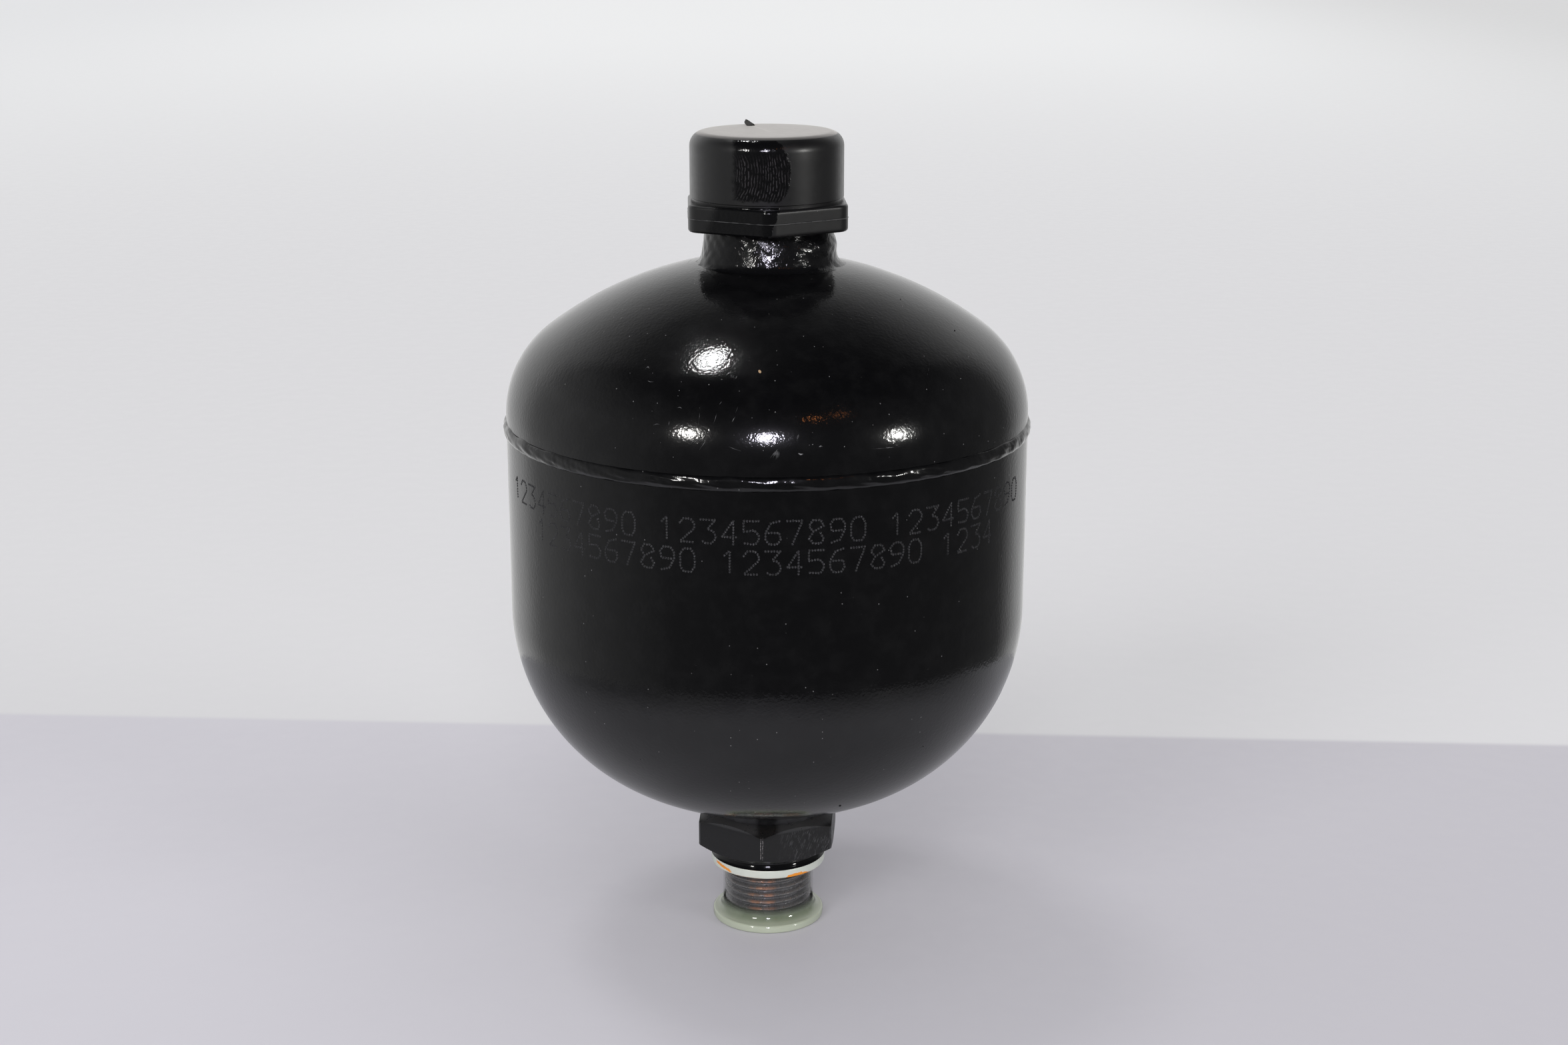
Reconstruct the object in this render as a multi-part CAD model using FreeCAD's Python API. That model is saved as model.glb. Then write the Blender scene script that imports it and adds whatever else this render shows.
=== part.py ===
"""Welded diaphragm accumulator, 0.75 litre class, standing on its fluid port.

Millimetres, +Z up. The origin is on the vessel's axis, at the underside of the thread protector.
Each real piece is one solid in its own file. Heights are stacked upwards from the protector's floor,
so that a change of one size moves what stands on it.
"""
import FreeCAD, Part
import math
import os

# Shells
SHELL_DIAMETER = 121.0
SHELL_WALL = 6.5
LOWER_STRAIGHT = 43.4
LOWER_KNUCKLE = 47.5
LOWER_CROWN = 85.0
UPPER_STRAIGHT = 2.9
UPPER_KNUCKLE = 23.5
UPPER_CROWN = 85.0
RIM_RECESS = 0.8
RIM_DEPTH_BELOW_SEAM = 11.0
RIM_DEPTH_ABOVE_SEAM = 5.5

# Girth weld
WELD_FACE_WIDTH = 3.2
WELD_ROOT_WIDTH = 1.2
WELD_CROWN_HEIGHT = 0.8

# Thread protector
PROTECTOR_FLANGE_REACH = 2.4225
PROTECTOR_FLANGE_THICKNESS = 1.9
PROTECTOR_EDGE_RADIUS = 0.5
PROTECTOR_FLOOR = 1.6
PROTECTOR_WALL = 0.45
PROTECTOR_FILLET = 1.3
PROTECTOR_CLEARANCE = 0.1
PROTECTOR_END_GAP = 0.5
PROTECTOR_TOP_GAP = 0.3

# Fluid port, G1/2 stud
STUD_DIAMETER = 20.955
STUD_RELIEF_DEPTH = 1.2775
STUD_LENGTH = 14.5
STUD_CHAMFER = 1.2
STUD_RELIEF_LENGTH = 2.8
OIL_BORE_DIAMETER = 11.0
OIL_BORE_CHAMFER = 0.8
COLLAR_REACH = 3.2725
COLLAR_HEIGHT = 2.2
COLLAR_EDGE_RADIUS = 1.4
PORT_HEX_ACROSS_FLATS = 32.0
PORT_HEX_HEIGHT = 10.0
PORT_HEX_CORNER_CUT = 0.25
PORT_HEX_CHAMFER_INSET = 1.4
PORT_HEX_CHAMFER_ANGLE = 30.0
PORT_HEX_CORNER_ANGLE = -94.4
PORT_NECK_DIAMETER = 26.0
PORT_NECK_HEIGHT = 2.3
PORT_SPIGOT_STEP = 1.0
PORT_WELD_TOE_LEG = 1.5
PORT_WELD_FOOT_LEG = 4.5
PORT_WELD_SAG = 0.35

# Bonded seal under the collar
SEAL_THICKNESS = 2.1
SEAL_RING_WIDTH = 1.85
SEAL_EDGE_CHAMFER = 0.25
SEAL_LIP_WIDTH = 1.2
SEAL_LIP_CLEARANCE = 0.2725
SEAL_LIP_SET_BACK = 0.2

# Gas neck, M28 x 1.5
NECK_THREAD_DIAMETER = 28.0
NECK_THREAD_CHAMFER = 1.0
NECK_HEIGHT_ABOVE_CROWN = 21.4
NECK_SPIGOT_DIAMETER = 20.0
SHELL_HOLE_CLEARANCE = 0.1
GAS_PASSAGE_DIAMETER = 5.0
NECK_WELD_HEIGHT = 6.3
NECK_WELD_TOP_THICKNESS = 0.45
NECK_WELD_BASE_THICKNESS = 1.3
NECK_WELD_FILLET = 2.8

# Charging screw, M14, and its seal
SCREW_THREAD_DIAMETER = 14.0
SCREW_THREAD_CLEARANCE = 0.05
SCREW_SHANK_LENGTH = 13.0
SCREW_HEAD_DIAMETER = 19.0
SCREW_HEAD_HEIGHT = 4.4
SCREW_HEAD_CHAMFER = 0.6
SCREW_SOCKET_ACROSS_FLATS = 6.0
SCREW_SOCKET_DEPTH = 3.4
SCREW_END_GAP = 1.0
SCREW_SEAL_THICKNESS = 1.5
SCREW_RECESS_DEPTH = 3.0
SCREW_RECESS_CLEARANCE = 0.3

# Protective cap
CAP_GAP_BELOW = 0.4
CAP_WALL = 3.45
CAP_SCREW_HEAD_GAP = 1.5
CAP_TOP_RADIUS = 3.3
CAP_TOP_THICKNESS = 2.5
CAP_THREAD_CLEARANCE = 0.1
CAP_SHOULDER_GAP = 0.3
CAP_SHOULDER_WIDTH = 1.7
CAP_HEX_STEP = 0.45
CAP_HEX_HEIGHT = 6.1
CAP_HEX_CORNER_RADIUS = 4.0
CAP_HEX_EDGE_RADIUS = 0.7
CAP_HEX_CORNER_ANGLE = -87.6
CAP_GROOVE_WIDTH = 0.7
CAP_GROOVE_DEPTH = 0.5
SPRUE_POSITION = (-3.8, 10.0)
SPRUE_BASE_DIAMETER = 1.8
SPRUE_TIP_DIAMETER = 0.7
SPRUE_HEIGHT = 1.6

# Diaphragm, its clamp ring and the closing button
RUBBER_GAP = 0.3
DIAPHRAGM_WALL = 2.6
BEAD_WIDTH = 3.9
BEAD_CORNER_RADIUS = 1.1
CLAMP_RING_CLEARANCE = 0.1
CLAMP_RING_BAND = 3.2
CLAMP_RING_SKIRT = 2.2
CLAMP_RING_SKIRT_DROP = 8.4
CLAMP_RING_SHELF_BELOW_SEAM = 3.4
CLAMP_RING_KNEE = 4.5
BUTTON_SEAT_GAP = 0.3
BUTTON_DIAMETER = 22.0
BUTTON_THICKNESS = 3.0
BUTTON_CHAMFER = 0.7
BUTTON_STEM_DIAMETER = 12.0
BUTTON_HEAD_OVERHANG = 3.0
BUTTON_HEAD_HEIGHT = 2.5
BOSS_TOP_WIDTH = 2.2
BOSS_SLOPE_WIDTH = 4.0

UP = FreeCAD.Vector(0, 0, 1)
ORIGIN = FreeCAD.Vector(0, 0, 0)


class Outline:
    """A closed outline in the plane of the axis, drawn point by point and turned into a ring."""

    def __init__(self, radius, height):
        self.start = FreeCAD.Vector(radius, 0, height)
        self.here = self.start
        self.edges = []

    def line(self, radius, height):
        end = FreeCAD.Vector(radius, 0, height)
        self.edges.append(Part.LineSegment(self.here, end).toShape())
        self.here = end

    def arc(self, middle, end):
        middle_point = FreeCAD.Vector(middle[0], 0, middle[1])
        end_point = FreeCAD.Vector(end[0], 0, end[1])
        self.edges.append(Part.Arc(self.here, middle_point, end_point).toShape())
        self.here = end_point

    def fillet_to(self, corner, end):
        """A quarter circle from the present point to the end, tangent to both sides of the corner."""
        share = 1 - math.sqrt(0.5)
        across = corner[0] + share * (self.here.x + end[0] - 2 * corner[0])
        up = corner[1] + share * (self.here.z + end[1] - 2 * corner[1])
        self.arc((across, up), end)

    def ring(self):
        if self.here.distanceToPoint(self.start) > 1e-6:
            self.line(self.start.x, self.start.z)
        return Part.Face(Part.Wire(self.edges)).revolve(ORIGIN, UP, 360)


class Head:
    """A dished end: a crown arc round the axis and a knuckle arc that runs into the straight wall."""

    def __init__(self, tangent_height, direction, knuckle, crown):
        self.tangent_height = tangent_height
        self.direction = direction
        self.knuckle = knuckle
        self.crown = crown
        self.knuckle_centre = SHELL_DIAMETER / 2 - knuckle
        self.crown_drop = math.sqrt((crown - knuckle) ** 2 - self.knuckle_centre**2)
        self.joint_angle = math.atan2(self.crown_drop, self.knuckle_centre)

    def height_at(self, radius, depth):
        """Height of the crown at a radius, on the surface that lies depth inside the outer one."""
        crown = self.crown - depth
        return self.tangent_height + self.direction * (math.sqrt(crown**2 - radius**2) - self.crown_drop)

    def knuckle_point(self, angle, depth):
        knuckle = self.knuckle - depth
        return (
            self.knuckle_centre + knuckle * math.cos(angle),
            self.tangent_height + self.direction * knuckle * math.sin(angle),
        )

    def crown_point(self, angle, depth):
        radius = (self.crown - depth) * math.cos(angle)
        return (radius, self.height_at(radius, depth))

    def draw_out(self, outline, end_radius, depth):
        """Continues an outline from the axis side of the crown out to the straight wall."""
        crown = self.crown - depth
        end_angle = math.acos(end_radius / crown)
        middle_angle = (end_angle + self.joint_angle) / 2
        outline.arc(self.crown_point(middle_angle, depth), self.knuckle_point(self.joint_angle, depth))
        outline.arc(self.knuckle_point(self.joint_angle / 2, depth), self.knuckle_point(0, depth))

    def draw_in(self, outline, end_radius, depth, start_angle=0.0):
        """Continues an outline from the wall, or a place on the knuckle, in to a radius on the crown."""
        crown = self.crown - depth
        end_angle = math.acos(end_radius / crown)
        middle_angle = (end_angle + self.joint_angle) / 2
        knuckle_middle = (start_angle + self.joint_angle) / 2
        outline.arc(self.knuckle_point(knuckle_middle, depth), self.knuckle_point(self.joint_angle, depth))
        outline.arc(self.crown_point(middle_angle, depth), (end_radius, self.height_at(end_radius, depth)))

    def knuckle_angle_at(self, height, depth):
        return math.asin(abs(height - self.tangent_height) / (self.knuckle - depth))

    def crown_arc(self, outline, end_radius, depth):
        """Continues an outline along the crown alone, to another radius."""
        middle_radius = (outline.here.x + end_radius) / 2
        outline.arc(
            (middle_radius, self.height_at(middle_radius, depth)),
            (end_radius, self.height_at(end_radius, depth)),
        )


# Radii that several pieces share
SHELL_RADIUS = SHELL_DIAMETER / 2
SHELL_BORE_RADIUS = SHELL_RADIUS - SHELL_WALL
RIM_RADIUS = SHELL_BORE_RADIUS + RIM_RECESS
PORT_NECK_RADIUS = PORT_NECK_DIAMETER / 2
PORT_SPIGOT_RADIUS = PORT_NECK_RADIUS - PORT_SPIGOT_STEP
STUD_RADIUS = STUD_DIAMETER / 2
SEAL_LIP_INNER_RADIUS = STUD_RADIUS + SEAL_LIP_CLEARANCE
SEAL_LIP_OUTER_RADIUS = SEAL_LIP_INNER_RADIUS + SEAL_LIP_WIDTH
NECK_SPIGOT_RADIUS = NECK_SPIGOT_DIAMETER / 2
NECK_RADIUS = NECK_THREAD_DIAMETER / 2
CAP_BORE_RADIUS = NECK_RADIUS + CAP_THREAD_CLEARANCE
CAP_RADIUS = CAP_BORE_RADIUS + CAP_WALL

# Heights, stacked from the protector's floor
STUD_END = PROTECTOR_FLOOR + PROTECTOR_END_GAP
COLLAR_FACE = STUD_END + STUD_LENGTH
SEAL_BOTTOM = COLLAR_FACE - SEAL_THICKNESS
PORT_HEX_BOTTOM = COLLAR_FACE + COLLAR_HEIGHT
PORT_HEX_TOP = PORT_HEX_BOTTOM + PORT_HEX_HEIGHT
LOWER_POLE = PORT_HEX_TOP + PORT_NECK_HEIGHT


def dished_depth(knuckle, crown):
    """Height of a dished end, from the tangent plane to the pole."""
    return crown - math.sqrt((crown - knuckle) ** 2 - (SHELL_RADIUS - knuckle) ** 2)


LOWER_TANGENT = LOWER_POLE + dished_depth(LOWER_KNUCKLE, LOWER_CROWN)
SEAM = LOWER_TANGENT + LOWER_STRAIGHT
LOWER_HEAD = Head(LOWER_TANGENT, -1, LOWER_KNUCKLE, LOWER_CROWN)
UPPER_HEAD = Head(SEAM + UPPER_STRAIGHT, 1, UPPER_KNUCKLE, UPPER_CROWN)
UPPER_POLE = UPPER_HEAD.height_at(0, 0)
RIM_LOWER_STEP = SEAM - RIM_DEPTH_BELOW_SEAM
RIM_UPPER_STEP = SEAM + RIM_DEPTH_ABOVE_SEAM
VALVE_SEAT = LOWER_HEAD.height_at(PORT_SPIGOT_RADIUS, SHELL_WALL)

NECK_TOP = UPPER_POLE + NECK_HEIGHT_ABOVE_CROWN
SCREW_RECESS_FLOOR = NECK_TOP - SCREW_RECESS_DEPTH
SCREW_HEAD_BOTTOM = SCREW_RECESS_FLOOR + SCREW_SEAL_THICKNESS
SCREW_HEAD_TOP = SCREW_HEAD_BOTTOM + SCREW_HEAD_HEIGHT
NECK_WELD_TOP = UPPER_POLE + NECK_WELD_HEIGHT
CAP_BOTTOM = NECK_WELD_TOP + CAP_GAP_BELOW
CAP_TOP = SCREW_HEAD_TOP + CAP_SCREW_HEAD_GAP + CAP_TOP_THICKNESS

# Heights and radii inside the vessel
BEAD_OUTER_RADIUS = RIM_RADIUS - RUBBER_GAP
BEAD_INNER_RADIUS = BEAD_OUTER_RADIUS - BEAD_WIDTH
BEAD_BOTTOM = RIM_LOWER_STEP + RUBBER_GAP
RING_SHELF = SEAM - CLAMP_RING_SHELF_BELOW_SEAM
BEAD_TOP = RING_SHELF - RUBBER_GAP
BUTTON_BOTTOM = VALVE_SEAT + BUTTON_SEAT_GAP
BUTTON_TOP = BUTTON_BOTTOM + BUTTON_THICKNESS
BOSS_BOTTOM = BUTTON_TOP + RUBBER_GAP
BOSS_TOP = BOSS_BOTTOM + DIAPHRAGM_WALL


def hexagon(across_flats, corner_angle, bottom, height):
    """A hexagonal prism round the axis, with one corner at the angle, in degrees from +X."""
    corner_radius = across_flats / math.sqrt(3)
    corners = [
        FreeCAD.Vector(
            corner_radius * math.cos(math.radians(corner_angle + 60 * i)),
            corner_radius * math.sin(math.radians(corner_angle + 60 * i)),
            bottom,
        )
        for i in range(6)
    ]
    return Part.Face(Part.makePolygon(corners + corners[:1])).extrude(UP * height)


def cylinder(diameter, bottom, top):
    return Part.makeCylinder(diameter / 2, top - bottom, FreeCAD.Vector(0, 0, bottom))


def lower_shell():
    hole = PORT_SPIGOT_RADIUS + SHELL_HOLE_CLEARANCE
    outline = Outline(hole, LOWER_HEAD.height_at(hole, 0))
    LOWER_HEAD.draw_out(outline, hole, 0)
    outline.line(SHELL_RADIUS, SEAM - WELD_FACE_WIDTH / 2)
    outline.line(RIM_RADIUS, SEAM - WELD_ROOT_WIDTH / 2)
    outline.line(RIM_RADIUS, RIM_LOWER_STEP)
    outline.line(SHELL_BORE_RADIUS, RIM_LOWER_STEP)
    outline.line(SHELL_BORE_RADIUS, LOWER_TANGENT)
    LOWER_HEAD.draw_in(outline, hole, SHELL_WALL)
    return outline.ring()


def upper_shell():
    hole = NECK_SPIGOT_RADIUS + SHELL_HOLE_CLEARANCE
    step_angle = UPPER_HEAD.knuckle_angle_at(RIM_UPPER_STEP, SHELL_WALL)
    outline = Outline(hole, UPPER_HEAD.height_at(hole, 0))
    UPPER_HEAD.draw_out(outline, hole, 0)
    outline.line(SHELL_RADIUS, SEAM + WELD_FACE_WIDTH / 2)
    outline.line(RIM_RADIUS, SEAM + WELD_ROOT_WIDTH / 2)
    outline.line(RIM_RADIUS, RIM_UPPER_STEP)
    outline.line(*UPPER_HEAD.knuckle_point(step_angle, SHELL_WALL))
    UPPER_HEAD.draw_in(outline, hole, SHELL_WALL, step_angle)
    return outline.ring()


def girth_weld():
    """The bead fills the bevels of both shells and stands a little proud."""
    outline = Outline(RIM_RADIUS, SEAM - WELD_ROOT_WIDTH / 2)
    outline.line(SHELL_RADIUS, SEAM - WELD_FACE_WIDTH / 2)
    outline.arc((SHELL_RADIUS + WELD_CROWN_HEIGHT, SEAM), (SHELL_RADIUS, SEAM + WELD_FACE_WIDTH / 2))
    outline.line(RIM_RADIUS, SEAM + WELD_ROOT_WIDTH / 2)
    return outline.ring()


def thread_protector():
    """A moulded cup over the stud, with a flange at its closed end."""
    bore = STUD_RADIUS + PROTECTOR_CLEARANCE
    sleeve = bore + PROTECTOR_WALL
    flange = sleeve + PROTECTOR_FLANGE_REACH
    edge = PROTECTOR_EDGE_RADIUS
    top = SEAL_BOTTOM - PROTECTOR_TOP_GAP
    flange_top = PROTECTOR_FLANGE_THICKNESS
    outline = Outline(0, 0)
    outline.line(flange - edge, 0)
    outline.fillet_to((flange, 0), (flange, edge))
    outline.line(flange, flange_top - edge)
    outline.fillet_to((flange, flange_top), (flange - edge, flange_top))
    outline.line(sleeve + PROTECTOR_FILLET, flange_top)
    outline.fillet_to((sleeve, flange_top), (sleeve, flange_top + PROTECTOR_FILLET))
    outline.line(sleeve, top)
    outline.line(bore, top)
    outline.line(bore, PROTECTOR_FLOOR)
    outline.line(0, PROTECTOR_FLOOR)
    return outline.ring()


def fluid_port():
    """Stud, collar, spanner hexagon and the spigot in the shell, turned from one bar."""
    stud = STUD_RADIUS
    root = stud - STUD_RELIEF_DEPTH
    bore = OIL_BORE_DIAMETER / 2
    collar = stud + COLLAR_REACH
    neck = PORT_NECK_RADIUS
    relief = COLLAR_FACE - STUD_RELIEF_LENGTH
    outline = Outline(bore + OIL_BORE_CHAMFER, STUD_END)
    outline.line(stud - STUD_CHAMFER, STUD_END)
    outline.line(stud, STUD_END + STUD_CHAMFER)
    outline.line(stud, relief)
    outline.line(root, relief + (stud - root))
    outline.line(root, COLLAR_FACE)
    outline.line(collar - COLLAR_EDGE_RADIUS, COLLAR_FACE)
    outline.fillet_to((collar, COLLAR_FACE), (collar, COLLAR_FACE + COLLAR_EDGE_RADIUS))
    outline.line(collar, PORT_HEX_BOTTOM)
    outline.line(neck, PORT_HEX_BOTTOM)
    outline.line(neck, LOWER_HEAD.height_at(neck, 0))
    LOWER_HEAD.crown_arc(outline, PORT_SPIGOT_RADIUS, 0)
    outline.line(PORT_SPIGOT_RADIUS, VALVE_SEAT)
    outline.line(bore, VALVE_SEAT)
    outline.line(bore, STUD_END + OIL_BORE_CHAMFER)
    return outline.ring().fuse(port_hexagon()).removeSplitter()


def port_hexagon():
    """The hexagon with its turned chamfers and corners, and the oil bore through it."""
    corner = PORT_HEX_ACROSS_FLATS / math.sqrt(3) - PORT_HEX_CORNER_CUT
    face = PORT_HEX_ACROSS_FLATS / 2 - PORT_HEX_CHAMFER_INSET
    rise = (corner - face) * math.tan(math.radians(PORT_HEX_CHAMFER_ANGLE))
    turned = Outline(OIL_BORE_DIAMETER / 2, PORT_HEX_BOTTOM)
    turned.line(face, PORT_HEX_BOTTOM)
    turned.line(corner, PORT_HEX_BOTTOM + rise)
    turned.line(corner, PORT_HEX_TOP - rise)
    turned.line(face, PORT_HEX_TOP)
    turned.line(OIL_BORE_DIAMETER / 2, PORT_HEX_TOP)
    prism = hexagon(PORT_HEX_ACROSS_FLATS, PORT_HEX_CORNER_ANGLE, PORT_HEX_BOTTOM, PORT_HEX_HEIGHT)
    return turned.ring().common(prism)


def port_weld():
    """Fillet weld in the corner between the hexagon's top and the lower shell."""
    neck = PORT_NECK_RADIUS
    toe = neck + PORT_WELD_TOE_LEG
    foot = neck + PORT_WELD_FOOT_LEG
    foot_height = LOWER_HEAD.height_at(foot, 0)
    outline = Outline(neck, PORT_HEX_TOP)
    outline.line(toe, PORT_HEX_TOP)
    outline.arc(
        ((toe + foot) / 2 - PORT_WELD_SAG, (PORT_HEX_TOP + foot_height) / 2 + PORT_WELD_SAG),
        (foot, foot_height),
    )
    LOWER_HEAD.crown_arc(outline, neck, 0)
    return outline.ring()


def seal_ring():
    """The metal ring of the bonded seal."""
    inner = SEAL_LIP_OUTER_RADIUS
    outer = inner + SEAL_RING_WIDTH
    chamfer = SEAL_EDGE_CHAMFER
    outline = Outline(inner, SEAL_BOTTOM)
    outline.line(outer - chamfer, SEAL_BOTTOM)
    outline.line(outer, SEAL_BOTTOM + chamfer)
    outline.line(outer, COLLAR_FACE - chamfer)
    outline.line(outer - chamfer, COLLAR_FACE)
    outline.line(inner, COLLAR_FACE)
    return outline.ring()


def seal_lip():
    """The rubber lip bonded inside the ring: full height at the ring, thin at its edge."""
    outer = SEAL_LIP_OUTER_RADIUS
    inner = SEAL_LIP_INNER_RADIUS
    middle = SEAL_BOTTOM + SEAL_THICKNESS / 2
    outline = Outline(outer, SEAL_BOTTOM + SEAL_LIP_SET_BACK)
    outline.line(outer, COLLAR_FACE - SEAL_LIP_SET_BACK)
    outline.line(inner, middle + SEAL_THICKNESS / 4)
    outline.line(inner, middle - SEAL_THICKNESS / 4)
    return outline.ring()


def gas_neck():
    """Boss with the outer thread for cap and filling tool, and the seat of the charging screw."""
    passage = GAS_PASSAGE_DIAMETER / 2
    screw_bore = SCREW_THREAD_DIAMETER / 2 + SCREW_THREAD_CLEARANCE
    recess = SCREW_HEAD_DIAMETER / 2 + SCREW_RECESS_CLEARANCE
    inner_end = UPPER_HEAD.height_at(NECK_SPIGOT_RADIUS, SHELL_WALL)
    bore_end = SCREW_HEAD_BOTTOM - SCREW_SHANK_LENGTH - SCREW_END_GAP
    outline = Outline(passage, inner_end)
    outline.line(NECK_SPIGOT_RADIUS, inner_end)
    outline.line(NECK_SPIGOT_RADIUS, UPPER_HEAD.height_at(NECK_SPIGOT_RADIUS, 0))
    UPPER_HEAD.crown_arc(outline, NECK_RADIUS, 0)
    outline.line(NECK_RADIUS, NECK_TOP - NECK_THREAD_CHAMFER)
    outline.line(NECK_RADIUS - NECK_THREAD_CHAMFER, NECK_TOP)
    outline.line(recess, NECK_TOP)
    outline.line(recess, SCREW_RECESS_FLOOR)
    outline.line(screw_bore, SCREW_RECESS_FLOOR)
    outline.line(screw_bore, bore_end)
    outline.line(passage, bore_end - (screw_bore - passage) / math.sqrt(3))
    return outline.ring()


def neck_weld():
    """Fillet weld that climbs the gas neck and flares into the upper shell."""
    top = NECK_RADIUS + NECK_WELD_TOP_THICKNESS
    base = NECK_RADIUS + NECK_WELD_BASE_THICKNESS
    foot = base + NECK_WELD_FILLET
    foot_height = UPPER_HEAD.height_at(foot, 0)
    outline = Outline(NECK_RADIUS, UPPER_HEAD.height_at(NECK_RADIUS, 0))
    UPPER_HEAD.crown_arc(outline, foot, 0)
    outline.fillet_to((base, foot_height), (base, foot_height + NECK_WELD_FILLET))
    outline.line(top, NECK_WELD_TOP)
    outline.line(NECK_RADIUS, NECK_WELD_TOP)
    return outline.ring()


def charging_screw():
    shank = SCREW_THREAD_DIAMETER / 2 - SCREW_THREAD_CLEARANCE
    head = SCREW_HEAD_DIAMETER / 2
    end = SCREW_HEAD_BOTTOM - SCREW_SHANK_LENGTH
    outline = Outline(0, end)
    outline.line(shank - SCREW_HEAD_CHAMFER, end)
    outline.line(shank, end + SCREW_HEAD_CHAMFER)
    outline.line(shank, SCREW_HEAD_BOTTOM)
    outline.line(head, SCREW_HEAD_BOTTOM)
    outline.line(head, SCREW_HEAD_TOP - SCREW_HEAD_CHAMFER)
    outline.line(head - SCREW_HEAD_CHAMFER, SCREW_HEAD_TOP)
    outline.line(0, SCREW_HEAD_TOP)
    socket_floor = SCREW_HEAD_TOP - SCREW_SOCKET_DEPTH
    socket = hexagon(SCREW_SOCKET_ACROSS_FLATS, 0, socket_floor, SCREW_SOCKET_DEPTH)
    return outline.ring().cut(socket)


def charging_screw_seal():
    hole = SCREW_THREAD_DIAMETER + 2 * SCREW_RECESS_CLEARANCE
    return cylinder(SCREW_HEAD_DIAMETER, SCREW_RECESS_FLOOR, SCREW_HEAD_BOTTOM).cut(
        cylinder(hole, SCREW_RECESS_FLOOR, SCREW_HEAD_BOTTOM)
    )


def protective_cap():
    """Moulded cap: round body, groove and rounded hexagon, screwed over the gas neck."""
    body = CAP_RADIUS
    groove = body - CAP_GROOVE_DEPTH
    hex_top = CAP_BOTTOM + CAP_HEX_HEIGHT
    groove_top = hex_top + CAP_GROOVE_WIDTH
    turned = Outline(0, CAP_BOTTOM)
    turned.line(groove, CAP_BOTTOM)
    turned.line(groove, groove_top)
    turned.line(body, groove_top)
    turned.line(body, CAP_TOP - CAP_TOP_RADIUS)
    turned.fillet_to((body, CAP_TOP), (body - CAP_TOP_RADIUS, CAP_TOP))
    turned.line(0, CAP_TOP)
    sprue = Part.makeCone(
        SPRUE_BASE_DIAMETER / 2,
        SPRUE_TIP_DIAMETER / 2,
        SPRUE_HEIGHT,
        FreeCAD.Vector(*SPRUE_POSITION, CAP_TOP),
    )
    return turned.ring().fuse([cap_hexagon(), sprue]).cut(cap_hollow()).removeSplitter()


def cap_hexagon():
    """The hexagon's corners and its upper and lower edges are well rounded."""
    across_flats = 2 * (CAP_RADIUS + CAP_HEX_STEP)
    prism = hexagon(across_flats, CAP_HEX_CORNER_ANGLE, CAP_BOTTOM, CAP_HEX_HEIGHT)
    corners = [edge for edge in prism.Edges if abs(edge.tangentAt(edge.FirstParameter).z) > 0.5]
    rounded = prism.makeFillet(CAP_HEX_CORNER_RADIUS, corners)
    rims = [edge for edge in rounded.Edges if edge.BoundBox.ZLength < CAP_HEX_EDGE_RADIUS]
    return rounded.makeFillet(CAP_HEX_EDGE_RADIUS, rims)


def cap_hollow():
    """Threaded bore over the gas neck, then a narrower chamber over the screw's head."""
    bore = CAP_BORE_RADIUS
    chamber = bore - CAP_SHOULDER_WIDTH
    shoulder = NECK_TOP + CAP_SHOULDER_GAP
    hollow = Outline(0, CAP_BOTTOM)
    hollow.line(bore, CAP_BOTTOM)
    hollow.line(bore, shoulder)
    hollow.line(chamber, shoulder)
    hollow.line(chamber, CAP_TOP - CAP_TOP_THICKNESS)
    hollow.line(0, CAP_TOP - CAP_TOP_THICKNESS)
    return hollow.ring()


def clamp_ring():
    """The band backs the girth weld, its shelf and skirt trap the diaphragm's bead."""
    band_outer = RIM_RADIUS - CLAMP_RING_CLEARANCE
    band_inner = band_outer - CLAMP_RING_BAND
    band_top = RIM_UPPER_STEP - RUBBER_GAP
    skirt_outer = BEAD_INNER_RADIUS - RUBBER_GAP
    skirt_inner = skirt_outer - CLAMP_RING_SKIRT
    skirt_bottom = RING_SHELF - CLAMP_RING_SKIRT_DROP
    outline = Outline(skirt_outer, skirt_bottom)
    outline.line(skirt_outer, RING_SHELF)
    outline.line(band_outer, RING_SHELF)
    outline.line(band_outer, band_top)
    outline.line(band_inner, band_top)
    outline.line(band_inner, RING_SHELF + CLAMP_RING_KNEE)
    outline.line(skirt_inner, RING_SHELF - CLAMP_RING_SKIRT)
    outline.line(skirt_inner, skirt_bottom)
    return outline.ring()


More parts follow.
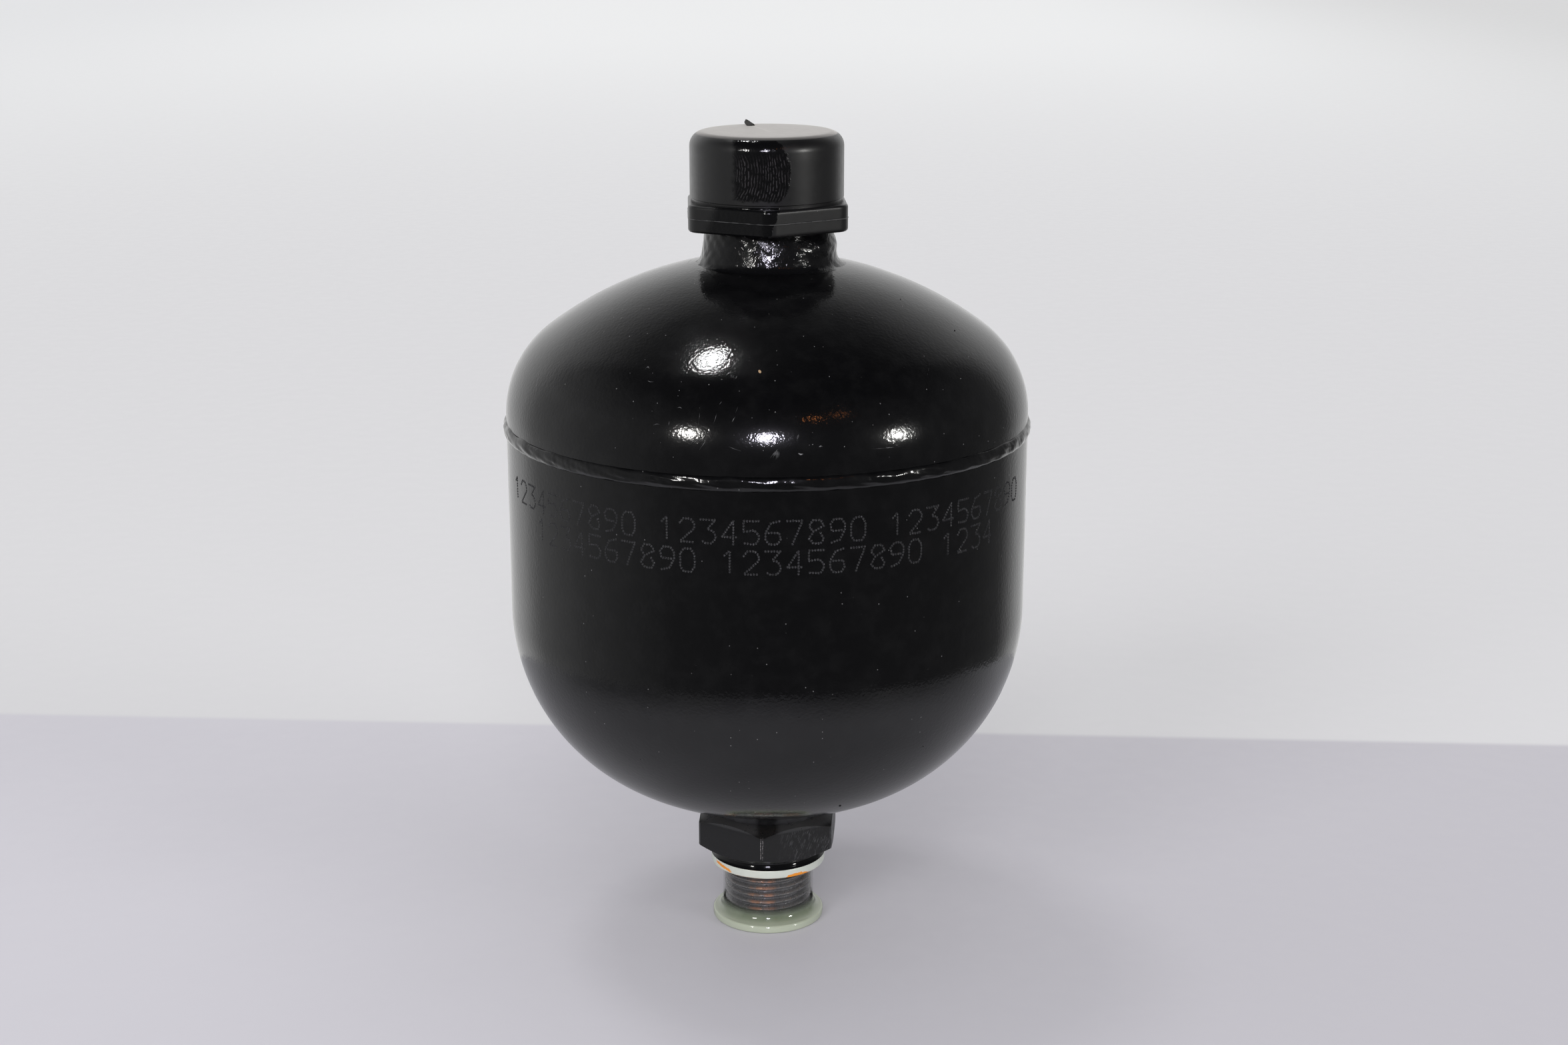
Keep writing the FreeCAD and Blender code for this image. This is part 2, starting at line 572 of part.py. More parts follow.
def diaphragm():
    """Rubber cup pressed against the lower shell by the gas, with a rim bead and a middle boss."""
    outside = SHELL_WALL + RUBBER_GAP
    inside = outside + DIAPHRAGM_WALL
    wall_outer = SHELL_RADIUS - outside
    wall_inner = SHELL_RADIUS - inside
    pocket = BUTTON_DIAMETER / 2 + RUBBER_GAP
    stem = BUTTON_STEM_DIAMETER / 2 + RUBBER_GAP
    boss_top = pocket + BOSS_TOP_WIDTH
    boss_foot = boss_top + BOSS_SLOPE_WIDTH
    corner = BEAD_CORNER_RADIUS
    outline = Outline(stem, BOSS_BOTTOM)
    outline.line(pocket, BOSS_BOTTOM)
    outline.line(pocket, LOWER_HEAD.height_at(pocket, outside))
    LOWER_HEAD.draw_out(outline, pocket, outside)
    outline.line(wall_outer, BEAD_BOTTOM)
    outline.line(BEAD_OUTER_RADIUS, BEAD_BOTTOM)
    outline.line(BEAD_OUTER_RADIUS, BEAD_TOP - corner)
    outline.fillet_to((BEAD_OUTER_RADIUS, BEAD_TOP), (BEAD_OUTER_RADIUS - corner, BEAD_TOP))
    outline.line(BEAD_INNER_RADIUS + corner, BEAD_TOP)
    outline.fillet_to((BEAD_INNER_RADIUS, BEAD_TOP), (BEAD_INNER_RADIUS, BEAD_TOP - corner))
    outline.line(BEAD_INNER_RADIUS, BEAD_BOTTOM + corner)
    outline.line(wall_inner, BEAD_BOTTOM)
    outline.line(wall_inner, LOWER_TANGENT)
    LOWER_HEAD.draw_in(outline, boss_foot, inside)
    outline.line(boss_top, BOSS_TOP)
    outline.line(stem, BOSS_TOP)
    return outline.ring()


def closing_button():
    """Button snapped through the diaphragm's boss, whose disc covers the oil bore."""
    disc = BUTTON_DIAMETER / 2
    stem = BUTTON_STEM_DIAMETER / 2
    head = stem + BUTTON_HEAD_OVERHANG
    head_bottom = BOSS_TOP + RUBBER_GAP
    outline = Outline(0, BUTTON_BOTTOM)
    outline.line(disc - BUTTON_CHAMFER, BUTTON_BOTTOM)
    outline.line(disc, BUTTON_BOTTOM + BUTTON_CHAMFER)
    outline.line(disc, BUTTON_TOP)
    outline.line(stem, BUTTON_TOP)
    outline.line(stem, head_bottom)
    outline.line(head, head_bottom)
    outline.line(head, head_bottom + BUTTON_HEAD_HEIGHT - BUTTON_CHAMFER)
    outline.line(head - BUTTON_CHAMFER, head_bottom + BUTTON_HEAD_HEIGHT)
    outline.line(0, head_bottom + BUTTON_HEAD_HEIGHT)
    return outline.ring()


PIECES = {
    "thread_protector": thread_protector,
    "seal_ring": seal_ring,
    "seal_lip": seal_lip,
    "fluid_port": fluid_port,
    "port_weld": port_weld,
    "lower_shell": lower_shell,
    "girth_weld": girth_weld,
    "upper_shell": upper_shell,
    "clamp_ring": clamp_ring,
    "diaphragm": diaphragm,
    "closing_button": closing_button,
    "gas_neck": gas_neck,
    "neck_weld": neck_weld,
    "charging_screw": charging_screw,
    "charging_screw_seal": charging_screw_seal,
    "protective_cap": protective_cap,
}

os.makedirs("parts", exist_ok=True)
for name, make in PIECES.items():
    shape = make()
    if len(shape.Solids) != 1 or not shape.isValid():
        raise ValueError(f"{name} is not one valid solid")
    shape.Solids[0].exportStep(f"parts/{name}.step")
    box = shape.optimalBoundingBox()
    print(f"{name}: {shape.Volume / 1000:.2f} cm3, z {box.ZMin:.2f} to {box.ZMax:.2f}, r {box.XMax:.2f}")
print(f"seam {SEAM:.2f}, poles {LOWER_POLE:.2f} and {UPPER_POLE:.2f}, valve seat {VALVE_SEAT:.2f}")
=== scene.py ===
"""Looks of a welded diaphragm accumulator that stands on its fluid port.

Sizes are in millimetres in the named values and helpers, and in metres in Blender. The object's own
frame is kept: +Z up along the axis, -Y towards the camera, z = 0 under the thread protector.
"""

import math

import bpy
import bmesh
import numpy as np
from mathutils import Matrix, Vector


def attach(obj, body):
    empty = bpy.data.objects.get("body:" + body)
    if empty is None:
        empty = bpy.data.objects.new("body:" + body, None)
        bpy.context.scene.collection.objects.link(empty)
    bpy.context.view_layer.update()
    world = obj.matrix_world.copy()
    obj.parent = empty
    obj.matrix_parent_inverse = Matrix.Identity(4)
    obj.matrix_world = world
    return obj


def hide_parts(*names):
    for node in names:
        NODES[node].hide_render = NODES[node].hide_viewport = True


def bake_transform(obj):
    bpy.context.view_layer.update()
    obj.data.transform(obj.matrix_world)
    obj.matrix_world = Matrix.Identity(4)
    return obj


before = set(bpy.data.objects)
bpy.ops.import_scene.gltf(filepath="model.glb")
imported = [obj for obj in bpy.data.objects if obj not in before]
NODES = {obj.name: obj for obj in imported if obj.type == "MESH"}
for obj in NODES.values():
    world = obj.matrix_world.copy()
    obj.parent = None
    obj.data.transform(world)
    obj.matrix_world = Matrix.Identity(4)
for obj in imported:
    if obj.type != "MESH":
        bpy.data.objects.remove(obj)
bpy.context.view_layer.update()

MM = 0.001
TURN = 2 * math.pi
SHARP = 32.0

# Shells
SHELL_RADIUS = 60.5
SHELL_WALL = 6.5
RIM_RADIUS = 54.8
LOWER_TANGENT = 80.93
LOWER_KNUCKLE = 47.5
UPPER_TANGENT = 127.23
UPPER_KNUCKLE = 23.5
CROWN = 85.0
SEAM = 124.33
RIM_LOWER_STEP = 113.33
RIM_UPPER_STEP = 129.83
PORT_HOLE = 12.1
NECK_HOLE = 10.1
SHELL_COLUMNS = 256
OUT_OF_ROUND = 0.05

# Welds
WELD_HALF_WIDTH = 1.6
WELD_ROOT_HALF_WIDTH = 0.6
WELD_CROWN_HEIGHT = 0.8
GIRTH_COLUMNS = 1100
NECK_RADIUS = 14.0
NECK_WELD_TOP = 169.4
NECK_WELD_TOP_RADIUS = 14.35
NECK_WELD_FOOT = 18.1
NECK_WELD_BEND = 2.5
NECK_WELD_LUMP_HEIGHT = 2.2
PORT_WELD_TOE = 14.5
PORT_WELD_FOOT = 17.5
WELD_SHARP = 60

# Fluid port and its thread
STUD_END = 2.1
STUD_RADIUS = 10.4775
STUD_ROOT = 9.2
STUD_CHAMFER = 1.2
THREAD_FLOOR = 9.6
THREAD_PITCH = 1.814
THREAD_RUNOUT = 2.8
ROWS_PER_PITCH = 14
COLLAR_FACE = 16.6
COLLAR_RADIUS = 13.75
COLLAR_WAIST_DEPTH = 0.75
COLLAR_WAIST_RADIUS = 1.75
HEX_BOTTOM = 18.8
HEX_TOP = 28.8
HEX_APOTHEM = 16.0
HEX_CORNER = 18.225
HEX_FACE = 14.6
HEX_TURN = -94.4
HEX_CHAMFER_ANGLE = 30
HEX_EDGE_WEAR = 0.16
PORT_NECK = 13.0
PORT_SPIGOT = 12.0
PORT_TOP = 38.52
OIL_BORE = 5.5
BARE_INSIDE_RADIUS = 8.4
BARE_ABOVE = 33

# Seal ring and thread protector
RING_BORE = 11.95
RING_RADIUS = 13.8
RING_THICKNESS = 2.1
RING_EDGE = 0.28
SLEEVE_GAP = 0.1
SLEEVE_WALL = 0.45
SLEEVE_TOP = 14.1
SLEEVE_LIP = 0.1
SLEEVE_FILLET = 1.9
FLANGE_RADIUS = 13.45
FLANGE_THICKNESS = 1.9
FLANGE_EDGE = 0.5
CUP_FLOOR = 1.6

# Gas neck
NECK_SPIGOT = 10.0
NECK_BOTTOM = 155.96
NECK_TOP = 184.5
NECK_TOP_RADIUS = 13.0
NECK_THREAD_PITCH = 1.5
NECK_THREAD_DEPTH = 0.92
SCREW_POCKET = 9.8
SCREW_SEAT = 181.5
SCREW_BORE = 7.05
SCREW_BORE_END = 169.0
GAS_BORE = 2.5
GAS_BORE_TOP = 166.37

# Protective cap
CAP_BOTTOM = 169.8
CAP_TOP = 191.4
CAP_RADIUS = 17.55
CAP_HEX_APOTHEM = 18.0
CAP_HEX_CORNER = 4.0
CAP_HEX_HEIGHT = 6.1
CAP_HEX_EDGE = 0.7
CAP_HEX_TURN = -87.6
CAP_HEX_PARTING_STEP = 0.02
CAP_BORE = 14.1
CAP_BORE_TOP = 184.8
CAP_HOLLOW = 12.4
CAP_HOLLOW_TOP = 188.9
CAP_GROOVE_DEPTH = 0.5
CAP_GROOVE_HEIGHT = 0.7
CAP_GROOVE_EDGE = 0.12
CAP_TOP_ROUND = 3.3
CAP_DUST_AND_PAINTED_SHEEN_DEPTH = 0.5
SPRUE_PLACE = (-3.8, 10.0)

# Diaphragm
RUBBER_GAP = 0.3
RUBBER_WALL = 2.6
BUTTON_POCKET = 11.3
STEM_HOLE = 6.3
BOSS_BOTTOM = 42.12
BOSS_TOP = 44.72
BOSS_RADIUS = 13.5
BOSS_FOOT = 17.5
BEAD_OUTER = 54.5
BEAD_INNER = 50.6
BEAD_BOTTOM = 113.63
BEAD_SHOULDER = 119.53
BEAD_CORNER = 1.1

# Camera: the photograph's frame and viewing angle
FRAME_WIDTH = 2352
FRAME_HEIGHT = 1568
FOCAL_PIXELS = 3600.0
SENSOR_WIDTH = 36.0
CAMERA_PLACE = (3.9, -546.0, 250.3)
CAMERA_PITCH = 15.44


def arc(centre, radius, start, end, steps):
    """Points (radius, height) on an arc in the plane of the axis, angles in degrees."""
    angles = np.radians(np.linspace(start, end, steps + 1))
    return [(centre[0] + radius * math.cos(a), centre[1] + radius * math.sin(a)) for a in angles]


def ramp(value, low, high):
    """0 below low, 1 above high, smooth between."""
    t = np.clip((value - low) / (high - low), 0, 1)
    return t * t * (3 - 2 * t)


def waves(seed, theta, height, count, turns, heights):
    """A smooth random field round the axis, about -1 to 1, that closes on itself."""
    source = np.random.default_rng(seed)
    total = 0
    for _ in range(count):
        n = int(source.integers(turns[0], turns[1] + 1))
        m = source.uniform(heights[0], heights[1]) * source.choice([-1, 1])
        total = total + np.sin(n * theta + m * height + source.uniform(0, TURN))
    return total / math.sqrt(count)


def even_columns(count):
    return np.linspace(0, TURN, count, endpoint=False)


def hexagon_columns(turn, near, far, dense, sparse):
    """Angles round a hexagon, close together near each corner."""
    side = np.concatenate([np.linspace(-near, near, dense), np.linspace(far, 60 - far, sparse)])
    return np.radians(np.concatenate([turn + 60 * k + side for k in range(6)]))


def hexagon_radius(theta, turn, apothem):
    from_corner = (np.degrees(theta) - turn + 30) % 60 - 30
    return apothem / np.cos(np.radians(30 - np.abs(from_corner)))


def rounded_hexagon_radius(theta, turn, apothem, corner):
    """Radius of a hexagon whose corners are arcs."""
    from_corner = np.radians((np.degrees(theta) - turn + 30) % 60 - 30)
    centre = (apothem - corner) / math.cos(math.pi / 6)
    tangent = math.atan2(corner * 0.5, centre + corner * math.cos(math.pi / 6))
    flat = apothem / np.cos(math.pi / 6 - np.abs(from_corner))
    sine = np.clip(centre * np.sin(from_corner), -corner, corner)
    curve = centre * np.cos(from_corner) + np.sqrt(corner**2 - sine**2)
    return np.where(np.abs(from_corner) < tangent, curve, flat)


def linked(name, data):
    """A new object with the given data, in the scene."""
    made = bpy.data.objects.new(name, data)
    bpy.context.scene.collection.objects.link(made)
    return made


def new_object(name, vertices, faces, sharp=SHARP):
    """A smooth mesh with hard edges where its faces turn by more than the sharp angle."""
    mesh = bpy.data.meshes.new(name)
    mesh.from_pydata(vertices, [], faces)
    mesh.validate()
    mesh.shade_smooth()
    mesh.set_sharp_from_angle(angle=math.radians(sharp))
    return linked(name, mesh)


def grid_faces(rows, columns, wrap, offset=0):
    index = np.arange(rows * columns).reshape(rows, columns) + offset
    low = index if wrap else index[:-1]
    high = np.roll(index, -1, axis=0) if wrap else index[1:]
    quads = np.stack([low, np.roll(low, -1, axis=1), np.roll(high, -1, axis=1), high], axis=-1)
    return quads.reshape(-1, 4)


def spread_rows(rows, theta):
    """Radius and height for rows of the two, each a number or one value for each angle."""
    radius = np.array([np.broadcast_to(r, theta.shape) for r, _ in rows], float)
    height = np.array([np.broadcast_to(z, theta.shape) for _, z in rows], float)
    return radius, height


def round_axis(radius, height, theta):
    """Points in metres from radius, height and angle."""
    return np.stack([radius * np.cos(theta), radius * np.sin(theta), height], axis=-1) * MM


def turned(name, rows, theta, change=None, wrap=True, sharp=SHARP):
    """A skin turned round the axis from an outline that runs up outside and down inside."""
    radius, height = spread_rows(rows, theta)
    if change:
        radius, height = change(radius, height, np.broadcast_to(theta, radius.shape))
    points = round_axis(radius, height, theta)
    faces = grid_faces(len(rows), len(theta), wrap)
    made = new_object(name, points.reshape(-1, 3).tolist(), faces.tolist(), sharp)
    if not wrap:
        close_poles(made, sharp)
    return made


def close_poles(made, sharp):
    """Joins the points that lie together on the axis."""
    work = bmesh.new()
    work.from_mesh(made.data)
    bmesh.ops.remove_doubles(work, verts=work.verts, dist=1e-7)
    work.to_mesh(made.data)
    work.free()
    made.data.shade_smooth()
    made.data.set_sharp_from_angle(angle=math.radians(sharp))


def settle(made, slot, solid, *materials):
    """The piece rides on the vessel, takes the given finishes and stands for a solid, if one is named. Its
    slot is not used.
    """
    for material in materials:
        made.data.materials.append(material)
    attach(made, "vessel")
    if solid:
        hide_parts(solid)


# Materials


def node(tree, kind, inputs=None, **settings):
    """A shader node, its inputs given by name or number as values or as other nodes' outputs."""
    made = tree.nodes.new("ShaderNode" + kind)
    for key, value in settings.items():
        setattr(made, key, value)
    for key, value in (inputs or {}).items():
        if isinstance(value, bpy.types.NodeSocket):
            tree.links.new(value, made.inputs[key])
        else:
            made.inputs[key].default_value = value
    return made


class Finish:
    """A material with its texture coordinates in the object's own frame."""

    def __init__(self, name, colour, roughness, **sockets):
        self.material = bpy.data.materials.new(name)
        self.material.use_nodes = True
        self.material.diffuse_color = (*colour, 1)
        self.tree = self.material.node_tree
        self.shader = self.tree.nodes["Principled BSDF"]
        self.place = self.add("TexCoord").outputs["Object"]
        self.x, self.y, self.z = self.add("SeparateXYZ", {0: self.place}).outputs
        for key, value in {"Base_Color": (*colour, 1), "Roughness": roughness, **sockets}.items():
            self.shader.inputs[key.replace("_", " ")].default_value = value

    def add(self, kind, inputs=None, **settings):
        return node(self.tree, kind, inputs, **settings)

    def noise(self, size_mm, detail=2.0, roughness=0.5, distortion=0.0, place=None):
        """Noise from 0 to 1 with features of about the given size."""
        inputs = {"Vector": place or self.place, "Scale": 1 / (size_mm * MM), "Detail": detail}
        inputs.update({"Roughness": roughness, "Distortion": distortion})
        return self.add("TexNoise", inputs).outputs["Fac"]

    def math(self, operation, first, second=0.0, third=0.0, clamp=False):
        inputs = {0: first, 1: second, 2: third}
        return self.add("Math", inputs, operation=operation, use_clamp=clamp).outputs[0]

    def times(self, first, *others):
        for other in others:
            first = self.math("MULTIPLY", first, other)
        return first

    def plus(self, first, second):
        return self.math("ADD", first, second)

    def minus(self, first, second):
        return self.math("SUBTRACT", first, second)

    def square(self, value):
        return self.math("POWER", value, 2.0)

    def absolute(self, value):
        return self.math("ABSOLUTE", value)

    def spread(self, value, low, high, out_low=0.0, out_high=1.0):
        """A smooth step from out_low, below low, to out_high, above high."""
        inputs = {0: value, 1: low, 2: high, 3: out_low, 4: out_high}
        return self.add("MapRange", inputs, interpolation_type="SMOOTHSTEP").outputs[0]

    def step(self, value, low, high, out_low=0.0, out_high=1.0):
        """The same with its limits in millimetres."""
        return self.spread(value, low * MM, high * MM, out_low, out_high)

    def between(self, value, low, high, edge):
        """1 between low and high, 0 outside, soft over the edge."""
        rise = self.spread(value, low - edge, low + edge)
        return self.times(rise, self.spread(value, high - edge, high + edge, 1.0, 0.0))

    def band(self, value, low, high, edge):
        """The same with its limits in millimetres."""
        return self.between(value, low * MM, high * MM, edge * MM)

    def mix(self, share, first, second):
        """A colour between two, each given as three numbers or another node's output."""
        given = (first, second)
        first, second = [c if isinstance(c, bpy.types.NodeSocket) else (*c, 1.0) for c in given]
        return self.add("Mix", {0: share, 6: first, 7: second}, data_type="RGBA").outputs[2]

    def blend(self, share, first, second):
        return self.add("Mix", {0: share, 2: first, 3: second}, data_type="FLOAT").outputs[0]

    def radius(self):
        """Distance from the axis."""
        return self.math("SQRT", self.plus(self.square(self.x), self.square(self.y)))

    def wander(self, size_mm, reach_mm):
        """A random shift, mostly within the reach either way."""
        noise = self.noise(size_mm, 3, 0.6)
        return self.math("MULTIPLY_ADD", noise, 4 * reach_mm * MM, -2 * reach_mm * MM)

    def specks(self, spacing_mm, radius_mm, share):
        """Round spots in a share of random cells."""
        inputs = {"Vector": self.place, "Scale": 1 / (spacing_mm * MM)}
        cells = self.add("TexVoronoi", inputs).outputs
        chance = self.add("SeparateColor", {0: cells["Color"]}).outputs[0]
        size = radius_mm / spacing_mm
        spot = self.spread(cells["Distance"], 0.5 * size, size, 1.0, 0.0)
        return self.times(spot, self.math("LESS_THAN", chance, share))

    def set(self, socket, value):
        self.tree.links.new(value, self.shader.inputs[socket])

    def colour(self, value):
        self.set("Base Color", value)

    def rough(self, grain, smoothest, roughest, low=0.3, high=0.7):
        """Roughness that follows a noise between two values."""
        self.set("Roughness", self.spread(grain, low, high, smoothest, roughest))

    def bump(self, height, depth_mm, under=None):
        inputs = {"Height": height, "Distance": depth_mm * MM, "Strength": 1.0}
        if under:
            inputs["Normal"] = under
        made = self.add("Bump", inputs).outputs["Normal"]
        self.set("Normal", made)
        return made


def gloss_paint():
    """Gloss black paint with orange peel, a slight haze, dust and nibs."""
    coat = {"IOR": 1.54, "Coat_Weight": 0.16, "Coat_Roughness": 0.22}
    made = Finish("gloss_black_paint", (0.003, 0.003, 0.0034), 0.07, **coat)
    cloud = made.spread(made.noise(5.0, 5, 0.65), 0.4, 0.75)
    film = made.mix(cloud, (0.0026, 0.0026, 0.003), (0.005, 0.005, 0.0054))
    made.colour(made.mix(made.specks(2.0, 0.16, 0.3), film, (0.14, 0.14, 0.14)))
    made.rough(made.noise(9.0, 4, 0.6), 0.05, 0.14, 0.3, 0.75)
    long_wave = made.bump(made.noise(8.0, 1), 0.04)
    orange_peel = made.bump(made.noise(0.75, 2, 0.5), 0.038, long_wave)
    fine_peel = made.bump(made.noise(0.3, 1), 0.006, orange_peel)
    made.bump(made.specks(3.2, 0.3, 0.45), 0.02, fine_peel)
    return made.material


def weld_paint():
    """The same paint over the crinkled skin of a weld."""
    made = Finish("gloss_paint_on_weld", (0.0035, 0.0035, 0.004), 0.09, Coat_Weight=0.12, Coat_Roughness=0.3)
    made.rough(made.noise(3.0, 3), 0.07, 0.18, 0.3, 0.75)
    swirl = made.noise(3.2, 2, 0.5, 1.0)
    rings = made.math("SINE", made.times(swirl, 70.0))
    crinkled = made.step(made.x, -9.0, -6.0, 0.15, 1.0)
    skin = made.bump(made.noise(1.1, 2, 0.5), 0.07)
    made.bump(made.times(rings, crinkled), 0.0075, skin)
    return made.material


WORN_CORNER = (21.4, 26.8)
# Heights over which the painted light on the top chamfer sets in
LIT_CHAMFER_ROWS = (26.9, 27.5)
BROWN_PATCH_ROWS = (30.3, 30.6)


def port_paint():
    """Satin black paint on the spanner flats, scuffed across and worn at the front corner, and lighter from
    the top chamfer up as painted light.
    """
    made = Finish("satin_black_paint", (0.02, 0.02, 0.021), 0.32)
    turned_place = {"Vector": made.place, "Rotation": (0.0, math.radians(24), 0.0)}
    turned_place["Scale"] = (0.12, 0.12, 1.0)
    scuff_place = made.add("Mapping", turned_place, vector_type="TEXTURE").outputs[0]
    fine = made.spread(made.noise(2.6, 3, 0.6, place=scuff_place), 0.52, 0.66)
    on_right = made.step(made.x, 1.0, 7.0)
    patchy = made.spread(made.noise(4.0, 2), 0.35, 0.6, 0.2, 1.0)
    scuff = made.times(fine, on_right, patchy)
    angle = made.times(made.math("ARCTAN2", made.y, made.x), 180 / math.pi)
    beside = made.minus(angle, HEX_TURN)
    off_corner = made.absolute(made.plus(beside, made.times(made.wander(1.5, 0.12), 3000.0)))
    lines = made.between(off_corner, 0.62, 0.95, 0.16)
    rows = made.band(made.z, *WORN_CORNER, 0.3)
    rubbed = made.times(rows, made.spread(made.noise(0.35, 3), 0.38, 0.6))
    worn = made.times(lines, rubbed)
    # Painted reflection: from the top chamfer up, away from the front middle, the paint is lighter, as if it
    # mirrored the pale floor like the flats
    low_light = made.step(made.z, *LIT_CHAMFER_ROWS)
    painted_light_chamfer = made.times(low_light, made.step(made.absolute(made.x), 1.6, 3.4))
    tone = made.mix(scuff, (0.0075, 0.0075, 0.0082), (0.055, 0.055, 0.058))
    with_painted_light = made.mix(painted_light_chamfer, tone, (0.036, 0.036, 0.038))
    # Above these heights the paint is brownish in patches
    rim = made.times(made.step(made.z, *BROWN_PATCH_ROWS), made.spread(made.noise(0.9, 3), 0.3, 0.6))
    edged = made.mix(rim, with_painted_light, (0.26, 0.21, 0.15))
    made.colour(made.mix(worn, edged, (0.28, 0.26, 0.26)))
    made.rough(made.noise(2.2, 4, 0.6), 0.26, 0.42)
    peel = made.bump(made.noise(0.7, 3), 0.012)
    made.bump(scuff, 0.006, peel)
    return made.material


def collar_paint():
    made = Finish("gloss_paint_on_collar", (0.004, 0.004, 0.0045), 0.06)
    made.rough(made.noise(2.0, 3), 0.05, 0.12, 0.35, 0.7)
    made.bump(made.noise(1.1, 2), 0.008)
    return made.material


def oiled_thread():
    """Dark oiled steel, its crests lighter than the roots, with a painted warm reflection on the crests in
    the middle of the front.
    """
    made = Finish("oiled_thread", (0.05, 0.048, 0.048), 0.2, Metallic=0.9)
    crest = made.step(made.radius(), 9.9, 10.4)
    # Painted reflection: the crests in the middle of the front are brown, for the warm lamps' reflection in
    # them
    middle = made.band(made.x, -4.4, 1.6, 1.0)
    patch = made.times(middle, made.spread(made.noise(2.0, 3), 0.3, 0.6))
    rubbed = made.mix(patch, (0.38, 0.37, 0.38), (0.85, 0.47, 0.32))
    made.colour(made.mix(crest, (0.27, 0.265, 0.28), rubbed))
    made.set("Metallic", made.spread(made.noise(1.0, 2), 0.3, 0.7, 0.8, 0.88))
    made.rough(made.noise(0.6, 3), 0.26, 0.34)
    made.bump(made.noise(0.3, 2), 0.006)
    return made.material


PRINT_CENTRE = (-3.7, 183.8)
PRINT_RADIUS = 9.2
PRINT_LEFT = -7.4
PRINT_BOTTOM = 177.5
RIDGE_PITCH = 0.62
OIL_LEFT = -13.5
OIL_RIGHT = 0.8
OIL_SLANT = 0.36
RIDGE_ROWS = (178.0, 187.4)
HEXAGON_TOP = 176.2


def print_masks(made):
    """The gloss of a finger print and of an oily stretch of the hexagon, and the print's ridges."""
    front = made.math("LESS_THAN", made.y, -8 * MM)
    shift = made.wander(1.5, 0.45)
    beside = made.square(made.minus(made.x, PRINT_CENTRE[0] * MM))
    above = made.square(made.minus(made.z, PRINT_CENTRE[1] * MM))
    reach = made.plus(made.math("SQRT", made.plus(beside, above)), shift)
    inside = made.step(reach, PRINT_RADIUS - 0.25, PRINT_RADIUS + 0.25, 1.0, 0.0)
    moved = made.plus(made.x, shift)
    left = made.step(moved, PRINT_LEFT - 0.5, PRINT_LEFT + 0.9)
    low = made.step(made.plus(made.z, shift), PRINT_BOTTOM - 0.2, PRINT_BOTTOM + 0.5)
    below_top = made.step(made.z, CAP_TOP - 0.6, CAP_TOP - 0.25, 1.0, 0.0)
    sides = made.times(made.times(inside, left), made.times(low, front))
    patch = made.times(sides, below_top)
    ridge_centre = made.square(made.plus(made.x, 15 * MM))
    bend = made.math("SQRT", made.plus(ridge_centre, above))
    phase = made.times(made.plus(bend, made.wander(6.0, 0.55)), TURN / (RIDGE_PITCH * MM))
    ridge = made.spread(made.math("SINE", phase), 0.0, 0.9)
    fading = made.spread(made.noise(3.0, 1), 0.38, 0.56, 0.25, 1.0)
    broken = made.times(fading, made.spread(made.noise(0.8, 2), 0.36, 0.54))
    rows = made.band(made.z, *RIDGE_ROWS, 1.2)
    lines = made.times(made.times(ridge, broken), made.times(rows, patch))
    slanted = made.minus(moved, made.times(made.minus(made.z, 0.17), OIL_SLANT))
    from_left = made.step(slanted, OIL_LEFT - 1.5, OIL_LEFT + 1.5)
    to_right = made.step(slanted, OIL_RIGHT - 0.1, OIL_RIGHT + 0.15, 1.0, 0.0)
    on_hexagon = made.math("LESS_THAN", made.z, HEXAGON_TOP * MM)
    oil = made.times(from_left, to_right, on_hexagon, front)
    return made.math("MAXIMUM", patch, oil), lines


def satin_plastic():
    """Moulded black cap: satin, with a glossy finger print and an oily stretch of the hexagon."""
    made = Finish("satin_black_plastic", (0.012, 0.012, 0.013), 0.42, Coat_Roughness=0.3)
    gloss, lines = print_masks(made)
    satin = made.spread(made.noise(1.6, 4, 0.6), 0.3, 0.7, 0.38, 0.46)
    made.set("Roughness", made.blend(gloss, satin, made.blend(lines, 0.12, 0.32)))
    made.set("Coat Weight", made.blend(gloss, 0.75, 0.0))
    base = made.mix(gloss, (0.0045, 0.0045, 0.005), (0.003, 0.003, 0.0034))
    marked = made.mix(lines, base, (0.024, 0.022, 0.024))
    middle = CAP_BOTTOM + CAP_HEX_HEIGHT / 2
    # Painted highlight: a pale broken line along the parting ridge at mid-height of the hexagon
    parting = made.band(made.z, middle - 0.07, middle + 0.07, 0.04)
    broken = made.times(parting, made.spread(made.noise(1.4, 2), 0.3, 0.6, 0.3, 1.0))
    parting_with_painted_highlight = made.mix(broken, marked, (0.09, 0.09, 0.09))
    made.colour(made.mix(made.specks(2.2, 0.12, 0.3), parting_with_painted_highlight, (0.16, 0.16, 0.16)))
    swell = made.bump(made.noise(2.6, 2), 0.035)
    fine = made.bump(made.noise(0.22, 2), 0.0022, swell)
    smeared = made.bump(made.times(gloss, made.noise(1.1, 2)), 0.085, fine)
    made.bump(lines, 0.005, smeared)
    return made.material


FLOW_START = (-3.4, 10.0)
FLOW_END = (0.75, -2.7)


